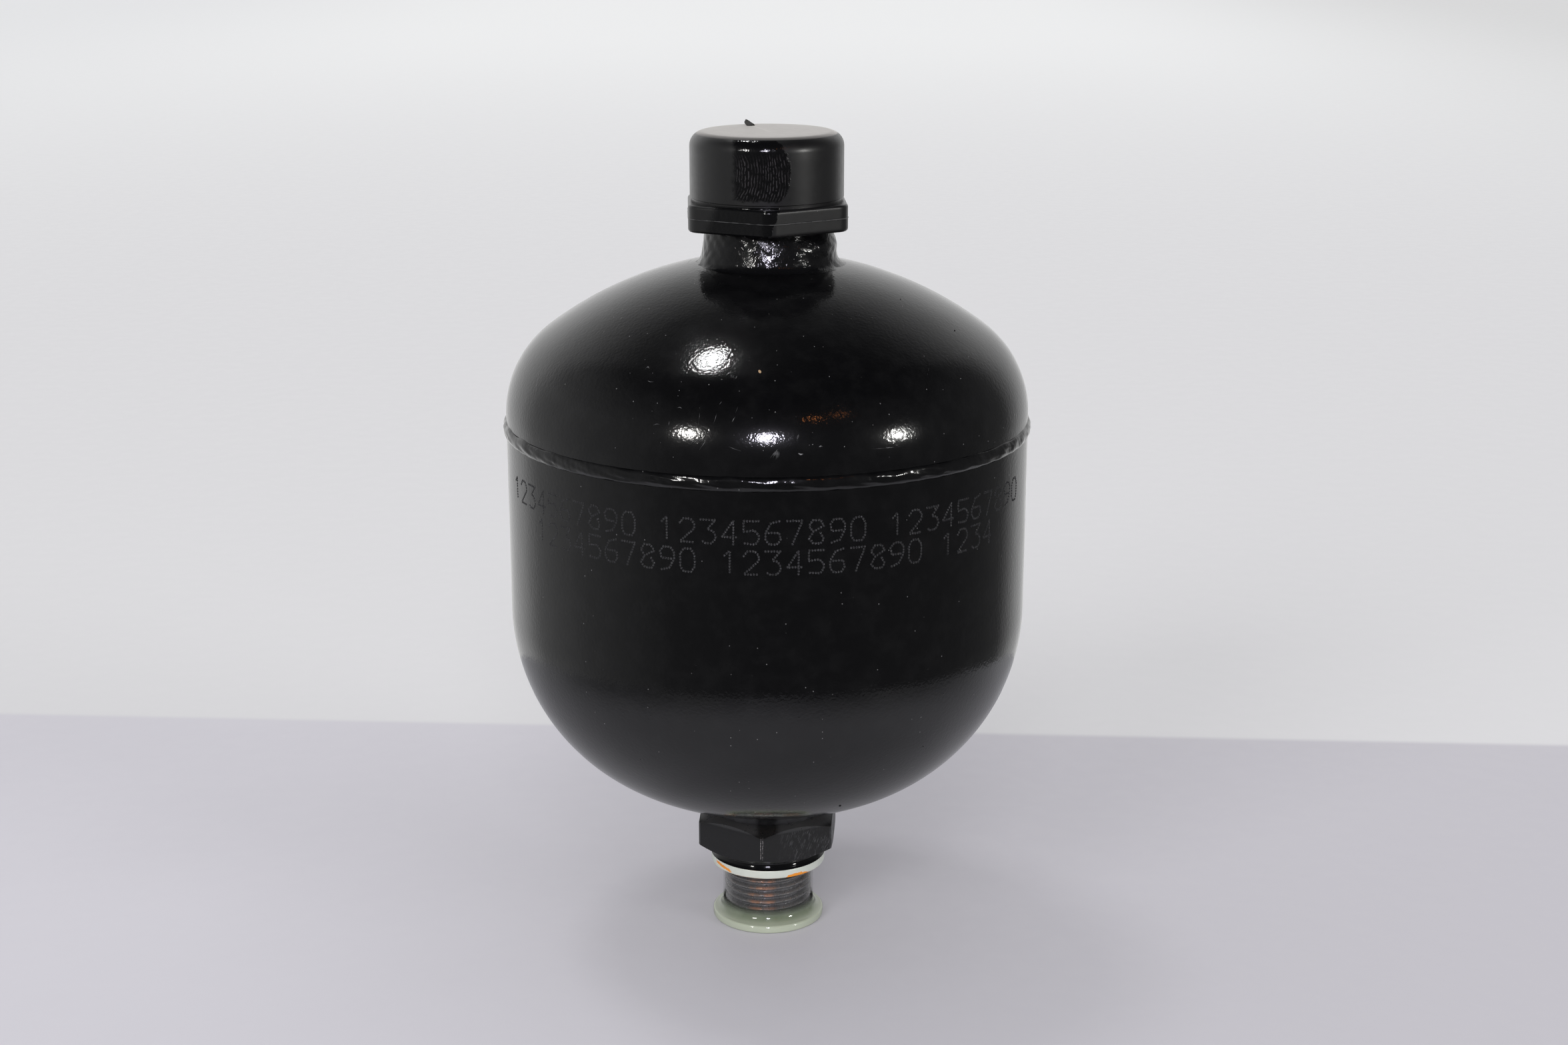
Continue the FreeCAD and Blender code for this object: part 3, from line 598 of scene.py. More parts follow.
def dust_and_painted_sheen_plastic():
    """The cap's flat top: settled dust and a painted sheen that lighten it, a sheen that pales it at a low
    angle, and a flow line from the sprue.
    """
    sheen = {"Sheen_Weight": 0.8, "Sheen_Roughness": 0.4, "Sheen_Tint": (1.0, 0.965, 0.925, 1.0)}
    made = Finish("dust_and_painted_sheen_black_plastic", (0.05, 0.047, 0.043), 0.5, **sheen)
    slope = (FLOW_END[0] - FLOW_START[0]) / (FLOW_END[1] - FLOW_START[1])
    deep = made.minus(made.y, FLOW_START[1] * MM)
    line_place = made.math("MULTIPLY_ADD", deep, slope, FLOW_START[0] * MM)
    aside = made.absolute(made.minus(made.x, line_place))
    line = made.step(aside, 0.05, 0.3, 1.0, 0.0)
    flow = made.times(line, made.band(made.y, FLOW_END[1], FLOW_START[1], 1.0))
    # Partly settled dust, partly painted sheen: the lighter tone stands in for the light the top reflects at
    # a low angle
    dust_and_painted_sheen_tone = made.mix(made.noise(6.0, 4, 0.6), (0.03, 0.028, 0.025), (0.075, 0.07, 0.064))
    lined = made.mix(made.times(flow, 0.6), dust_and_painted_sheen_tone, (0.26, 0.255, 0.24))
    # The flat top is lighter than the rounded edge below it: settled dust and painted sheen
    top = made.step(made.z, CAP_TOP - 0.6, CAP_TOP - 0.03)
    made.colour(made.mix(top, (0.005, 0.005, 0.0055), lined))
    made.rough(made.noise(1.6, 4, 0.6), 0.46, 0.56)
    made.bump(made.noise(0.5, 2), 0.004)
    return made.material


def torn_plastic():
    made = Finish("torn_black_plastic", (0.02, 0.02, 0.02), 0.5)
    made.colour(made.mix(made.noise(0.4, 3), (0.012, 0.012, 0.012), (0.05, 0.05, 0.045)))
    made.rough(made.noise(0.6, 2), 0.4, 0.6)
    made.bump(made.noise(0.3, 2), 0.03)
    return made.material


RESIDUE_LEFT = (-10.6, 15.5)
RESIDUE_RIGHT = (6.9, 3.2)


def residue(made):
    """Two orange smears on the front of the ring and a faint line along its lower rim."""
    shift = made.wander(0.8, 0.35)
    across = made.plus(made.x, shift)
    up = made.plus(made.z, made.wander(1.1, 0.2))
    from_left = made.minus(across, RESIDUE_LEFT[0] * MM)
    slope = made.math("MULTIPLY_ADD", from_left, -0.22, RESIDUE_LEFT[1] * MM)
    off_slope = made.absolute(made.minus(up, slope))
    streak = made.step(off_slope, 0.25, 0.4, 1.0, 0.0)
    left = made.times(streak, made.band(across, -12.4, -9.0, 0.2))
    from_middle = made.minus(across, RESIDUE_RIGHT[0] * MM)
    ratio = made.math("DIVIDE", from_middle, RESIDUE_RIGHT[1] * MM)
    lens = made.minus(1.0, made.square(ratio))
    top = made.math("MULTIPLY_ADD", lens, 0.85 * MM, 14.5 * MM)
    over = made.minus(up, top)
    right = made.step(over, -0.08, 0.08, 1.0, 0.0)
    front = made.math("LESS_THAN", made.y, 0.0)
    smears = made.times(made.math("MAXIMUM", left, right), front)
    rim = made.times(made.step(up, 14.5, 14.75, 0.7, 0.0), made.noise(2.5, 2))
    return made.math("MAXIMUM", smears, rim, clamp=True)


def zinc():
    """Bright plated ring with orange residue."""
    made = Finish("zinc_plate", (0.7, 0.73, 0.68), 0.32, Metallic=0.6)
    stain = residue(made)
    tone = made.mix(made.noise(1.5, 3), (0.68, 0.72, 0.64), (0.78, 0.81, 0.75))
    made.colour(made.mix(stain, tone, (0.78, 0.27, 0.02)))
    made.set("Metallic", made.spread(stain, 0.0, 1.0, 0.35, 0.0))
    made.rough(made.noise(0.8, 3), 0.28, 0.4)
    made.bump(made.noise(0.35, 2), 0.003)
    return made.material


def pale_plastic():
    """Pale green plastic: the thin sleeve is clear, the flange milky, with painted shade darkening it by the
    sleeve.
    """
    made = Finish("translucent_green_plastic", (0.4, 0.43, 0.35), 0.08, IOR=1.6, Specular_IOR_Level=0.9)
    sleeve = made.step(made.z, 3.1, 5.6)
    # Painted shade: the flange darkens towards the sleeve, in the corner where they meet
    outward = made.step(made.radius(), 10.8, 13.3)
    milk_and_painted_shade = made.mix(outward, (0.085, 0.11, 0.065), (0.41, 0.445, 0.35))
    clouded = made.mix(made.times(made.noise(2.5, 3), 0.25), milk_and_painted_shade, (0.45, 0.48, 0.39))
    made.colour(made.mix(sleeve, clouded, (0.05, 0.055, 0.045)))
    made.set("Alpha", made.blend(sleeve, 1.0, 0.12))
    made.rough(made.noise(1.5, 3), 0.05, 0.1)
    made.bump(made.noise(1.8, 2), 0.012)
    return made.material


def rubber():
    made = Finish("moulded_rubber", (0.025, 0.025, 0.026), 0.55)
    bloom = made.spread(made.noise(6.0, 4, 0.6), 0.45, 0.75)
    made.colour(made.mix(bloom, (0.02, 0.02, 0.021), (0.045, 0.045, 0.047)))
    made.rough(made.noise(2.0, 3), 0.45, 0.65)
    made.bump(made.noise(0.4, 3), 0.012)
    return made.material


def turned_steel():
    """Machined steel with fine rings from the tool."""
    made = Finish("turned_steel", (0.42, 0.42, 0.43), 0.28, Metallic=1.0)
    scale = {0: made.place, 1: (0.02, 0.02, 1.0)}
    flattened = made.add("VectorMath", scale, operation="MULTIPLY").outputs["Vector"]
    rings = made.noise(0.35, 3, place=flattened)
    made.colour(made.mix(made.noise(6.0, 4), (0.36, 0.36, 0.365), (0.48, 0.475, 0.47)))
    made.rough(made.noise(1.5, 4), 0.2, 0.36)
    made.bump(rings, 0.008)
    return made.material


def pale_marks():
    """Dust, scratches and dried splashes on the paint."""
    made = Finish("pale_marks", (0.1, 0.1, 0.1), 0.6)
    tone = made.spread(made.noise(0.9, 2), 0.35, 0.65)
    made.colour(made.mix(tone, (0.025, 0.025, 0.026), (0.16, 0.16, 0.165)))
    made.bump(made.noise(0.2, 1), 0.004)
    return made.material


def tan_primer():
    """Tan undercoat bared in a chip."""
    made = Finish("tan_primer", (0.32, 0.18, 0.08), 0.55)
    made.colour(made.mix(made.noise(0.3, 2), (0.16, 0.09, 0.04), (0.55, 0.38, 0.22)))
    made.bump(made.noise(0.2, 2), 0.02)
    return made.material


def peened_paint():
    """Paint pushed up round the marking pin's dots, rougher than the wall, and lighter than it as a painted
    glint.
    """
    made = Finish("peened_paint", (0.012, 0.012, 0.013), 0.2)
    # Painted highlight: the dots are lighter than the wall paint so that they glint
    made.colour(made.mix(made.noise(1.2, 2), (0.006, 0.006, 0.007), (0.03, 0.03, 0.032)))
    made.rough(made.noise(0.8, 2), 0.14, 0.3)
    made.bump(made.noise(0.15, 2), 0.008)
    return made.material


PAINT = gloss_paint()
WELD_PAINT = weld_paint()
PORT_PAINT = port_paint()
COLLAR_PAINT = collar_paint()
THREAD = oiled_thread()
CAP_PLASTIC = satin_plastic()
CAP_DUST_AND_PAINTED_SHEEN = dust_and_painted_sheen_plastic()
CAP_SPRUE = torn_plastic()
ZINC = zinc()
PALE_PLASTIC = pale_plastic()
RUBBER = rubber()
STEEL = turned_steel()
MARKS = pale_marks()
PRIMER = tan_primer()
PEENED = peened_paint()

# Shells


def head_angle(depth, radius):
    """Angle on the crown at which a surface of that depth has that radius, in degrees."""
    return math.degrees(math.acos(radius / (CROWN - depth)))


def head_geometry(tangent, direction, knuckle):
    """Centre of the knuckle, centre of the crown and the angle where they join, in degrees."""
    inset = SHELL_RADIUS - knuckle
    drop = math.sqrt((CROWN - knuckle) ** 2 - inset**2)
    return (inset, tangent), (0.0, tangent - direction * drop), math.degrees(math.atan2(drop, inset))


UPPER = head_geometry(UPPER_TANGENT, 1, UPPER_KNUCKLE)
LOWER = head_geometry(LOWER_TANGENT, -1, LOWER_KNUCKLE)


def upper_outer():
    knuckle, crown, joint = UPPER
    rows = arc(knuckle, UPPER_KNUCKLE, 0, joint, 34)
    return rows + arc(crown, CROWN, joint, head_angle(0, NECK_HOLE), 44)[1:]


def upper_shell():
    knuckle, crown, joint = UPPER
    inner_knuckle = UPPER_KNUCKLE - SHELL_WALL
    step = math.degrees(math.asin((RIM_UPPER_STEP - UPPER_TANGENT) / inner_knuckle))
    rows = [(RIM_RADIUS, SEAM + WELD_ROOT_HALF_WIDTH), (SHELL_RADIUS, SEAM + WELD_HALF_WIDTH)]
    rows += upper_outer()
    rows += arc(crown, CROWN - SHELL_WALL, head_angle(SHELL_WALL, NECK_HOLE), joint, 16)
    rows += arc(knuckle, inner_knuckle, joint, step, 12)[1:]
    rows += [(RIM_RADIUS, RIM_UPPER_STEP)]
    made = turned("upper_shell_skin", rows, even_columns(SHELL_COLUMNS), shell_waviness)
    settle(made, "shell_paint", "upper_shell", PAINT)


def lower_outer():
    knuckle, crown, joint = LOWER
    rows = arc(crown, CROWN, -head_angle(0, PORT_HOLE), -joint, 30)
    rows += arc(knuckle, LOWER_KNUCKLE, -joint, 0, 44)[1:]
    top = SEAM - WELD_HALF_WIDTH
    return rows + [(SHELL_RADIUS, z) for z in np.linspace(LOWER_TANGENT, top, 16)[1:]]


def lower_shell():
    knuckle, crown, joint = LOWER
    rows = lower_outer()
    rows += [(RIM_RADIUS, SEAM - WELD_ROOT_HALF_WIDTH), (RIM_RADIUS, RIM_LOWER_STEP)]
    rows += [(SHELL_RADIUS - SHELL_WALL, RIM_LOWER_STEP)]
    rows += arc(knuckle, LOWER_KNUCKLE - SHELL_WALL, 0, -joint, 16)
    rows += arc(crown, CROWN - SHELL_WALL, -joint, -head_angle(SHELL_WALL, PORT_HOLE), 12)[1:]
    made = turned("lower_shell_skin", rows, even_columns(SHELL_COLUMNS), shell_waviness)
    settle(made, "shell_paint", "lower_shell", PAINT)


def shell_waviness(radius, height, theta):
    """The pressed wall is a few hundredths of a millimetre out of round, always inwards."""
    sway = 0.5 + 0.25 * waves(3, theta, height, 6, (2, 7), (0.01, 0.05))
    outside = radius > SHELL_RADIUS - 4
    return radius - OUT_OF_ROUND * np.clip(sway, 0, 1) * outside, height


upper_shell()
lower_shell()

# Welds


def girth_weld():
    """The bead between the shells, with long uneven waves and a fine ripple."""
    theta = even_columns(GIRTH_COLUMNS)
    rows = [(RIM_RADIUS, SEAM - WELD_ROOT_HALF_WIDTH)]
    low_edge = 0.045 * waves(11, theta, 0, 9, (9, 90), (0, 0))
    high_edge = 0.10 * waves(12, theta, 0, 7, (18, 60), (0, 0))
    for t in np.linspace(-1, 1, 19):
        crown = (1 - t * t) ** 0.7
        long_wave = 0.10 * waves(13, theta, t, 9, (24, 70), (0.6, 2.6)) * crown
        short_wave = 0.015 * waves(14, theta, t, 12, (120, 260), (1.0, 4.0)) * crown
        streaky = 0.04 * waves(15, theta, t, 9, (10, 60), (4.0, 8.0)) * crown
        lift = 0.86 * crown * (WELD_CROWN_HEIGHT - 0.16) + 0.12 * crown
        rise = np.clip(lift + long_wave * 0.6 + short_wave + streaky, -0.04, WELD_CROWN_HEIGHT) - 0.03
        edge = np.where(t < 0, low_edge, high_edge)
        rows.append((SHELL_RADIUS + rise, SEAM + t * (WELD_HALF_WIDTH + edge)))
    rows.append((RIM_RADIUS, SEAM + WELD_ROOT_HALF_WIDTH))
    settle(turned("girth_weld_bead", rows, theta, sharp=WELD_SHARP), "weld_paint", "girth_weld", PAINT)


def crown_height(radius, geometry, direction):
    return geometry[1][1] + direction * np.sqrt(CROWN**2 - np.square(radius))


NECK_WELD_LUMPS = ((0.6, 167.0, 0.2, 0.35), (1.0, 166.3, 0.68, 0.36))


def neck_weld():
    """Fillet that narrows up the gas neck, thicker on one side, and flares into the dome."""
    theta = even_columns(360)
    foot = NECK_WELD_FOOT
    foot_height = crown_height(foot, UPPER, 1)
    rows = [(r, crown_height(r, UPPER, 1) - 0.1) for r in np.linspace(NECK_RADIUS, foot, 4)]
    rows += arc((foot, foot_height + NECK_WELD_BEND), NECK_WELD_BEND, -90, -167, 16)
    start, end = rows[-1], (NECK_WELD_TOP_RADIUS, NECK_WELD_TOP)
    for t in np.linspace(0, 1, 18)[1:]:
        rows.append(tuple(a + (b - a) * t for a, b in zip(start, end)))
    rows += [(14.1, NECK_WELD_TOP + 0.02), (NECK_RADIUS, NECK_WELD_TOP)]

    def lumps(radius, height, angle):
        visible = ramp(radius, 14.1, 14.3) * ramp(18.2 - radius, 0.0, 0.9)
        low = ramp(NECK_WELD_TOP - height, 0.0, 3.0)
        lean = (0.2 + 0.25 * low) * np.cos(angle)
        for size, middle, turn, wide in NECK_WELD_LUMPS:
            upright = np.exp(-((height - middle) / NECK_WELD_LUMP_HEIGHT) ** 2)
            lean = lean + size * upright * np.exp(-((angle - TURN + turn) / wide) ** 2)
        big = 0.07 * waves(21, angle, height, 8, (4, 11), (0.3, 1.0))
        small = 0.035 * waves(22, angle, height, 12, (16, 40), (1.0, 3.0))
        ragged = ramp(radius, 15.8, 17.4) * ramp(np.abs(np.cos(angle)), 0.5, 0.95)
        toe = ragged * 0.22 * waves(23, angle, height, 9, (7, 26), (0.3, 0.8))
        shifted = radius + visible * (lean + big + small) + toe * (height > foot_height - 0.05)
        return np.maximum(shifted, NECK_RADIUS), height

    made = turned("neck_weld_bead", rows, theta, lumps, sharp=WELD_SHARP)
    settle(made, "weld_paint", "neck_weld", WELD_PAINT)


def port_weld():
    """Fillet weld in the corner between hexagon and lower dome."""
    theta = even_columns(240)
    toe, foot = PORT_WELD_TOE, PORT_WELD_FOOT
    foot_height = crown_height(foot, LOWER, -1)
    rows = [(PORT_NECK, HEX_TOP), (toe, HEX_TOP)]
    for t in np.linspace(0, 1, 12)[1:]:
        sag = 0.5 * math.sin(math.pi * t)
        rows.append((toe + (foot - toe) * t - sag, HEX_TOP + (foot_height - HEX_TOP) * t + sag))
    rows += [(r, crown_height(r, LOWER, -1) + 0.1) for r in np.linspace(foot, PORT_NECK, 4)[1:]]

    def lumps(radius, height, angle):
        visible = ramp(radius, 13.2, 14.4) * ramp(18.0 - radius, 0.1, 1.5)
        return radius + visible * 0.07 * waves(31, angle, height, 10, (8, 60), (0.5, 3.0)), height

    made = turned("port_weld_bead", rows, theta, lumps, sharp=WELD_SHARP)
    settle(made, "weld_paint", "port_weld", PORT_PAINT)


girth_weld()
neck_weld()
port_weld()

# Fluid port


def thread_radius(height, theta, crest, root, pitch):
    """A rounded vee thread."""
    phase = (height / pitch - theta / TURN) % 1
    ridge = np.abs(2 * phase - 1)
    return root + (crest - root) * ramp(ridge, 0.1, 0.92)


def fluid_port():
    theta = hexagon_columns(HEX_TURN, 1.39, 2.2, 5, 56)
    rows = [(OIL_BORE, STUD_END + 0.8), (OIL_BORE + 0.8, STUD_END)]
    rows.append((STUD_RADIUS - STUD_CHAMFER, STUD_END))
    for z in np.arange(STUD_END + 0.06, COLLAR_FACE - THREAD_RUNOUT, THREAD_PITCH / ROWS_PER_PITCH):
        chamfer = STUD_RADIUS - STUD_CHAMFER + (z - STUD_END)
        relief = STUD_ROOT + np.clip(COLLAR_FACE - THREAD_RUNOUT + 1.28 - z, 0, 2)
        cut = thread_radius(z, theta, STUD_RADIUS, THREAD_FLOOR, THREAD_PITCH)
        rows.append((np.minimum(np.minimum(cut, chamfer), relief), z))
    rows += [(STUD_ROOT, COLLAR_FACE - 1.5), (STUD_ROOT, COLLAR_FACE)]
    rows += [(COLLAR_RADIUS - COLLAR_WAIST_DEPTH, COLLAR_FACE), (COLLAR_RADIUS - 0.05, COLLAR_FACE)]
    waist = (COLLAR_RADIUS - COLLAR_WAIST_DEPTH + COLLAR_WAIST_RADIUS, COLLAR_FACE + 1.5)
    rows += arc(waist, COLLAR_WAIST_RADIUS, 240, 170, 22)
    outline = np.minimum(hexagon_radius(theta, HEX_TURN, HEX_APOTHEM), HEX_CORNER)
    rise = (outline - HEX_FACE) * math.tan(math.radians(HEX_CHAMFER_ANGLE))
    worn = HEX_EDGE_WEAR
    chamfer = [(HEX_FACE + (outline - worn - HEX_FACE) * t, rise * t) for t in np.linspace(0, 1, 5)]
    lower = chamfer + [(outline - worn * 0.25, rise + worn * 0.1), (outline, rise + worn)]
    flat = HEX_TOP - HEX_BOTTOM - 2 * rise - 2 * worn
    flats = [(outline, rise + worn + flat * t) for t in np.linspace(0, 1, 6)[1:-1]]
    rows += [(r, HEX_BOTTOM + z) for r, z in lower + flats]
    rows += [(r, HEX_TOP - z) for r, z in reversed(lower)]
    rows.append((PORT_NECK, HEX_TOP))
    rows += [(r, crown_height(r, LOWER, -1)) for r in (PORT_NECK, PORT_SPIGOT)]
    rows += [(PORT_SPIGOT, PORT_TOP), (OIL_BORE, PORT_TOP), (OIL_BORE, 20.0)]
    made = turned("fluid_port_body", rows, theta, sharp=24)
    settle(made, "port_paint", "fluid_port", PORT_PAINT, COLLAR_PAINT, THREAD, STEEL)
    for face in made.data.polygons:
        z = face.center.z / MM
        r = math.hypot(face.center.x, face.center.y) / MM
        if r < BARE_INSIDE_RADIUS or z > BARE_ABOVE:
            face.material_index = 3
        elif z < COLLAR_FACE:
            face.material_index = 2
        elif z < HEX_BOTTOM + 0.01:
            face.material_index = 1


def seal_ring():
    low = COLLAR_FACE - RING_THICKNESS + RING_EDGE
    high = COLLAR_FACE - RING_EDGE
    rows = [(RING_BORE, COLLAR_FACE - RING_THICKNESS)]
    rows += arc((RING_RADIUS - RING_EDGE, low), RING_EDGE, -90, 0, 5)
    rows += [(RING_RADIUS, z) for z in np.linspace(low, high, 4)[1:-1]]
    rows += arc((RING_RADIUS - RING_EDGE, high), RING_EDGE, 0, 90, 5)
    rows += [(RING_BORE, COLLAR_FACE)]
    settle(turned("seal_ring_plate", rows, even_columns(256)), "seal_metal", "seal_ring", ZINC)


def thread_protector():
    bore = STUD_RADIUS + SLEEVE_GAP
    sleeve = bore + SLEEVE_WALL
    edge = FLANGE_RADIUS - FLANGE_EDGE
    low = FLANGE_THICKNESS + SLEEVE_FILLET
    rows = [(0.0, 0.0), (6.0, 0.0)]
    rows += arc((edge, FLANGE_EDGE), FLANGE_EDGE, -90, 0, 6)
    rows += arc((edge, FLANGE_THICKNESS - FLANGE_EDGE), FLANGE_EDGE, 0, 90, 6)
    rows += arc((sleeve + SLEEVE_FILLET, low), SLEEVE_FILLET, -90, -180, 10)
    rows += [(sleeve, z) for z in np.linspace(low, SLEEVE_TOP, 10)[1:]]
    rows += [(r, SLEEVE_TOP + SLEEVE_LIP) for r in (sleeve - SLEEVE_LIP, bore + SLEEVE_LIP)]
    rows += [(bore, SLEEVE_TOP), (bore, FLANGE_THICKNESS)]
    rows += [(bore - 0.3, CUP_FLOOR), (0.0, CUP_FLOOR)]
    made = turned("thread_protector_cup", rows, even_columns(200), wrap=False)
    settle(made, "protector_plastic", "thread_protector", PALE_PLASTIC)


fluid_port()
seal_ring()
thread_protector()

# Gas neck and cap


def gas_neck():
    """Neck with its M28 x 1.5 thread, and the bore for the charging screw."""
    theta = even_columns(256)
    rows = [(GAS_BORE, NECK_BOTTOM), (NECK_SPIGOT, NECK_BOTTOM)]
    rows += [(r, crown_height(r, UPPER, 1)) for r in (NECK_SPIGOT, NECK_RADIUS)]
    rows += [(NECK_RADIUS, NECK_WELD_TOP)]
    for z in np.arange(NECK_WELD_TOP + 0.1, NECK_TOP - 0.08, NECK_THREAD_PITCH / 10):
        root = NECK_RADIUS - NECK_THREAD_DEPTH
        cut = thread_radius(z, theta, NECK_RADIUS, root, NECK_THREAD_PITCH)
        rows.append((np.minimum(cut, NECK_RADIUS - 1.0 + (NECK_TOP - z)), z))
    rows += [(NECK_TOP_RADIUS, NECK_TOP), (SCREW_POCKET, NECK_TOP), (SCREW_POCKET, SCREW_SEAT)]
    rows += [(SCREW_BORE, SCREW_SEAT), (SCREW_BORE, SCREW_BORE_END), (GAS_BORE, GAS_BORE_TOP)]
    settle(turned("gas_neck_thread", rows, theta), "bare_steel", "gas_neck", STEEL)


def cap_outline(theta, inset):
    corner = CAP_HEX_CORNER - inset
    return rounded_hexagon_radius(theta, CAP_HEX_TURN, CAP_HEX_APOTHEM - inset, corner)


def protective_cap():
    """Round body, groove, rounded hexagon with a parting line, and the hollow inside."""
    theta = hexagon_columns(CAP_HEX_TURN, 6.0, 7.0, 17, 47)
    middle = CAP_BOTTOM + CAP_HEX_HEIGHT / 2
    quarter = np.radians(np.linspace(0, 90, 7))
    rows = [(CAP_BORE, CAP_BOTTOM), (16.0, CAP_BOTTOM)]
    for a in quarter:
        inset = CAP_HEX_EDGE * (1 - math.sin(a))
        rows.append((cap_outline(theta, inset), CAP_BOTTOM + CAP_HEX_EDGE * (1 - math.cos(a))))
    line = 0.09 + 0.02 * waves(41, theta, 0, 6, (6, 40), (0, 0))
    outline = cap_outline(theta, 0)
    rows += [(outline, CAP_BOTTOM + 1.0), (outline, middle - 0.3), (outline, middle - 0.14)]
    rows += [(outline + line, middle - 0.05), (outline + line, middle + 0.05)]
    upper = outline - CAP_HEX_PARTING_STEP
    rows += [(upper, middle + 0.14), (upper, middle + 0.3)]
    hex_top = CAP_BOTTOM + CAP_HEX_HEIGHT
    rows.append((upper, hex_top - 1.0))
    for a in quarter[::-1]:
        inset = CAP_HEX_EDGE * (1 - math.sin(a)) + CAP_HEX_PARTING_STEP
        rows.append((cap_outline(theta, inset), hex_top - CAP_HEX_EDGE * (1 - math.cos(a))))
    groove = CAP_RADIUS - CAP_GROOVE_DEPTH
    groove_top = hex_top + CAP_GROOVE_HEIGHT
    rows += [(groove, hex_top), (groove, groove_top), (CAP_RADIUS - CAP_GROOVE_EDGE, groove_top)]
    low = hex_top + CAP_GROOVE_HEIGHT + CAP_GROOVE_EDGE
    high = CAP_TOP - CAP_TOP_ROUND
    rows += [(CAP_RADIUS, z) for z in np.linspace(low, high, 6)[:-1]]
    rows += arc((CAP_RADIUS - CAP_TOP_ROUND, high), CAP_TOP_ROUND, 0, 90, 14)
    rows += [(r, CAP_TOP) for r in (11.0, 7.0, 3.0, 0.0)]
    rows += [(0.0, CAP_HOLLOW_TOP), (CAP_HOLLOW, CAP_HOLLOW_TOP), (CAP_HOLLOW, CAP_BORE_TOP)]
    rows += [(CAP_BORE, CAP_BORE_TOP), (CAP_BORE, CAP_BOTTOM)]
    made = turned("protective_cap_moulding", rows, theta, wrap=False, sharp=28)
    settle(made, "cap_plastic", "protective_cap", CAP_PLASTIC, CAP_DUST_AND_PAINTED_SHEEN)
    for face in made.data.polygons:
        face.material_index = int(face.center.z > (CAP_TOP - CAP_DUST_AND_PAINTED_SHEEN_DEPTH) * MM)


def sprue():
    """The torn end of the moulding's sprue: a lump with a thin wing bent to the left."""
    theta = even_columns(14)
    rows = [(0.0, 0.86), (0.3, 0.84), (0.55, 0.78), (0.8, 0.66)]
    rows += [(1.0, 0.5), (1.2, 0.34), (1.38, 0.2), (1.5, 0.08)]
    points = []
    for up, width in rows:
        for a in theta:
            ragged = 1 + 0.2 * math.sin(3 * a + 5 * up) + 0.1 * math.sin(7 * a + 2 * up)
            wing = 1 + 0.75 * up * max(0.0, -math.cos(a)) ** 4
            x = SPRUE_PLACE[0] + width * ragged * wing * math.cos(a) - 0.45 * up * up
            y = SPRUE_PLACE[1] + width * ragged * math.sin(a) * (0.9 - 0.3 * up)
            points.append((x * MM, y * MM, (CAP_TOP - 0.2 + 1.1 * up) * MM))
    last = (len(rows) - 1) * len(theta)
    faces = grid_faces(len(rows), len(theta), False).tolist()
    faces += [list(range(len(theta) - 1, -1, -1)), list(range(last, last + len(theta)))]
    settle(new_object("cap_sprue", points, faces, 50), "cap_plastic", None, CAP_SPRUE)


gas_neck()
protective_cap()
sprue()

# Diaphragm


def diaphragm():
    """The rubber cup. It follows the vessel at its rim and the button in the middle."""
    knuckle, crown, joint = LOWER
    outside = SHELL_WALL + RUBBER_GAP
    inside = outside + RUBBER_WALL
    rows = [(STEM_HOLE, BOSS_BOTTOM), (BUTTON_POCKET, BOSS_BOTTOM)]
    rows += arc(crown, CROWN - outside, -head_angle(outside, BUTTON_POCKET), -joint, 22)
    rows += arc(knuckle, LOWER_KNUCKLE - outside, -joint, 0, 34)[1:]
    wall = SHELL_RADIUS - outside
    rows += [(wall, z) for z in np.linspace(LOWER_TANGENT, BEAD_BOTTOM, 10)[1:]]
    rows += [(BEAD_OUTER, BEAD_BOTTOM), (BEAD_OUTER, BEAD_SHOULDER)]
    rows += arc((BEAD_OUTER - BEAD_CORNER, BEAD_SHOULDER), BEAD_CORNER, 0, 90, 5)[1:]
    rows += arc((BEAD_INNER + BEAD_CORNER, BEAD_SHOULDER), BEAD_CORNER, 90, 180, 5)
    rows += [(BEAD_INNER, BEAD_BOTTOM + BEAD_CORNER)]
    wall = SHELL_RADIUS - inside
    rows += [(wall, z) for z in np.linspace(BEAD_BOTTOM, LOWER_TANGENT, 10)[:-1]]
    rows += arc(knuckle, LOWER_KNUCKLE - inside, 0, -joint, 34)
    rows += arc(crown, CROWN - inside, -joint, -head_angle(inside, BOSS_FOOT), 16)[1:]
    rows += [(BOSS_RADIUS, BOSS_TOP), (STEM_HOLE, BOSS_TOP)]
    made = turned("diaphragm_cup", rows, even_columns(160))
    made.data.materials.append(RUBBER)
    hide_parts("diaphragm")
    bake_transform(made)


diaphragm()

for name, material in {
    "clamp_ring": STEEL,
    "closing_button": STEEL,
    "charging_screw": STEEL,
    "charging_screw_seal": RUBBER,
    "seal_lip": RUBBER,
}.items():
    NODES[name].data.materials.clear()
    NODES[name].data.materials.append(material)

# Marks placed where the photograph shows them

OUTER_PROFILE = np.array(lower_outer() + upper_outer())
RAY_STEPS = np.arange(400.0, 640.0, 0.02)
MARK_FOOT = -0.04


def ray(pixel_x, pixel_y):
    """Start and direction of the camera's ray through a pixel of the photograph, in millimetres."""
    pitch = math.radians(CAMERA_PITCH)
    right = Vector((1, 0, 0))
    ahead = Vector((0, math.cos(pitch), -math.sin(pitch)))
    up = Vector((0, math.sin(pitch), math.cos(pitch)))
    across = (pixel_x - FRAME_WIDTH / 2) / FOCAL_PIXELS
    above = (FRAME_HEIGHT / 2 - pixel_y) / FOCAL_PIXELS
    return np.array(CAMERA_PLACE), np.array((ahead + right * across + up * above).normalized())


def shell_radius_at(height):
    return np.interp(height, OUTER_PROFILE[:, 1], OUTER_PROFILE[:, 0], 0, 0)


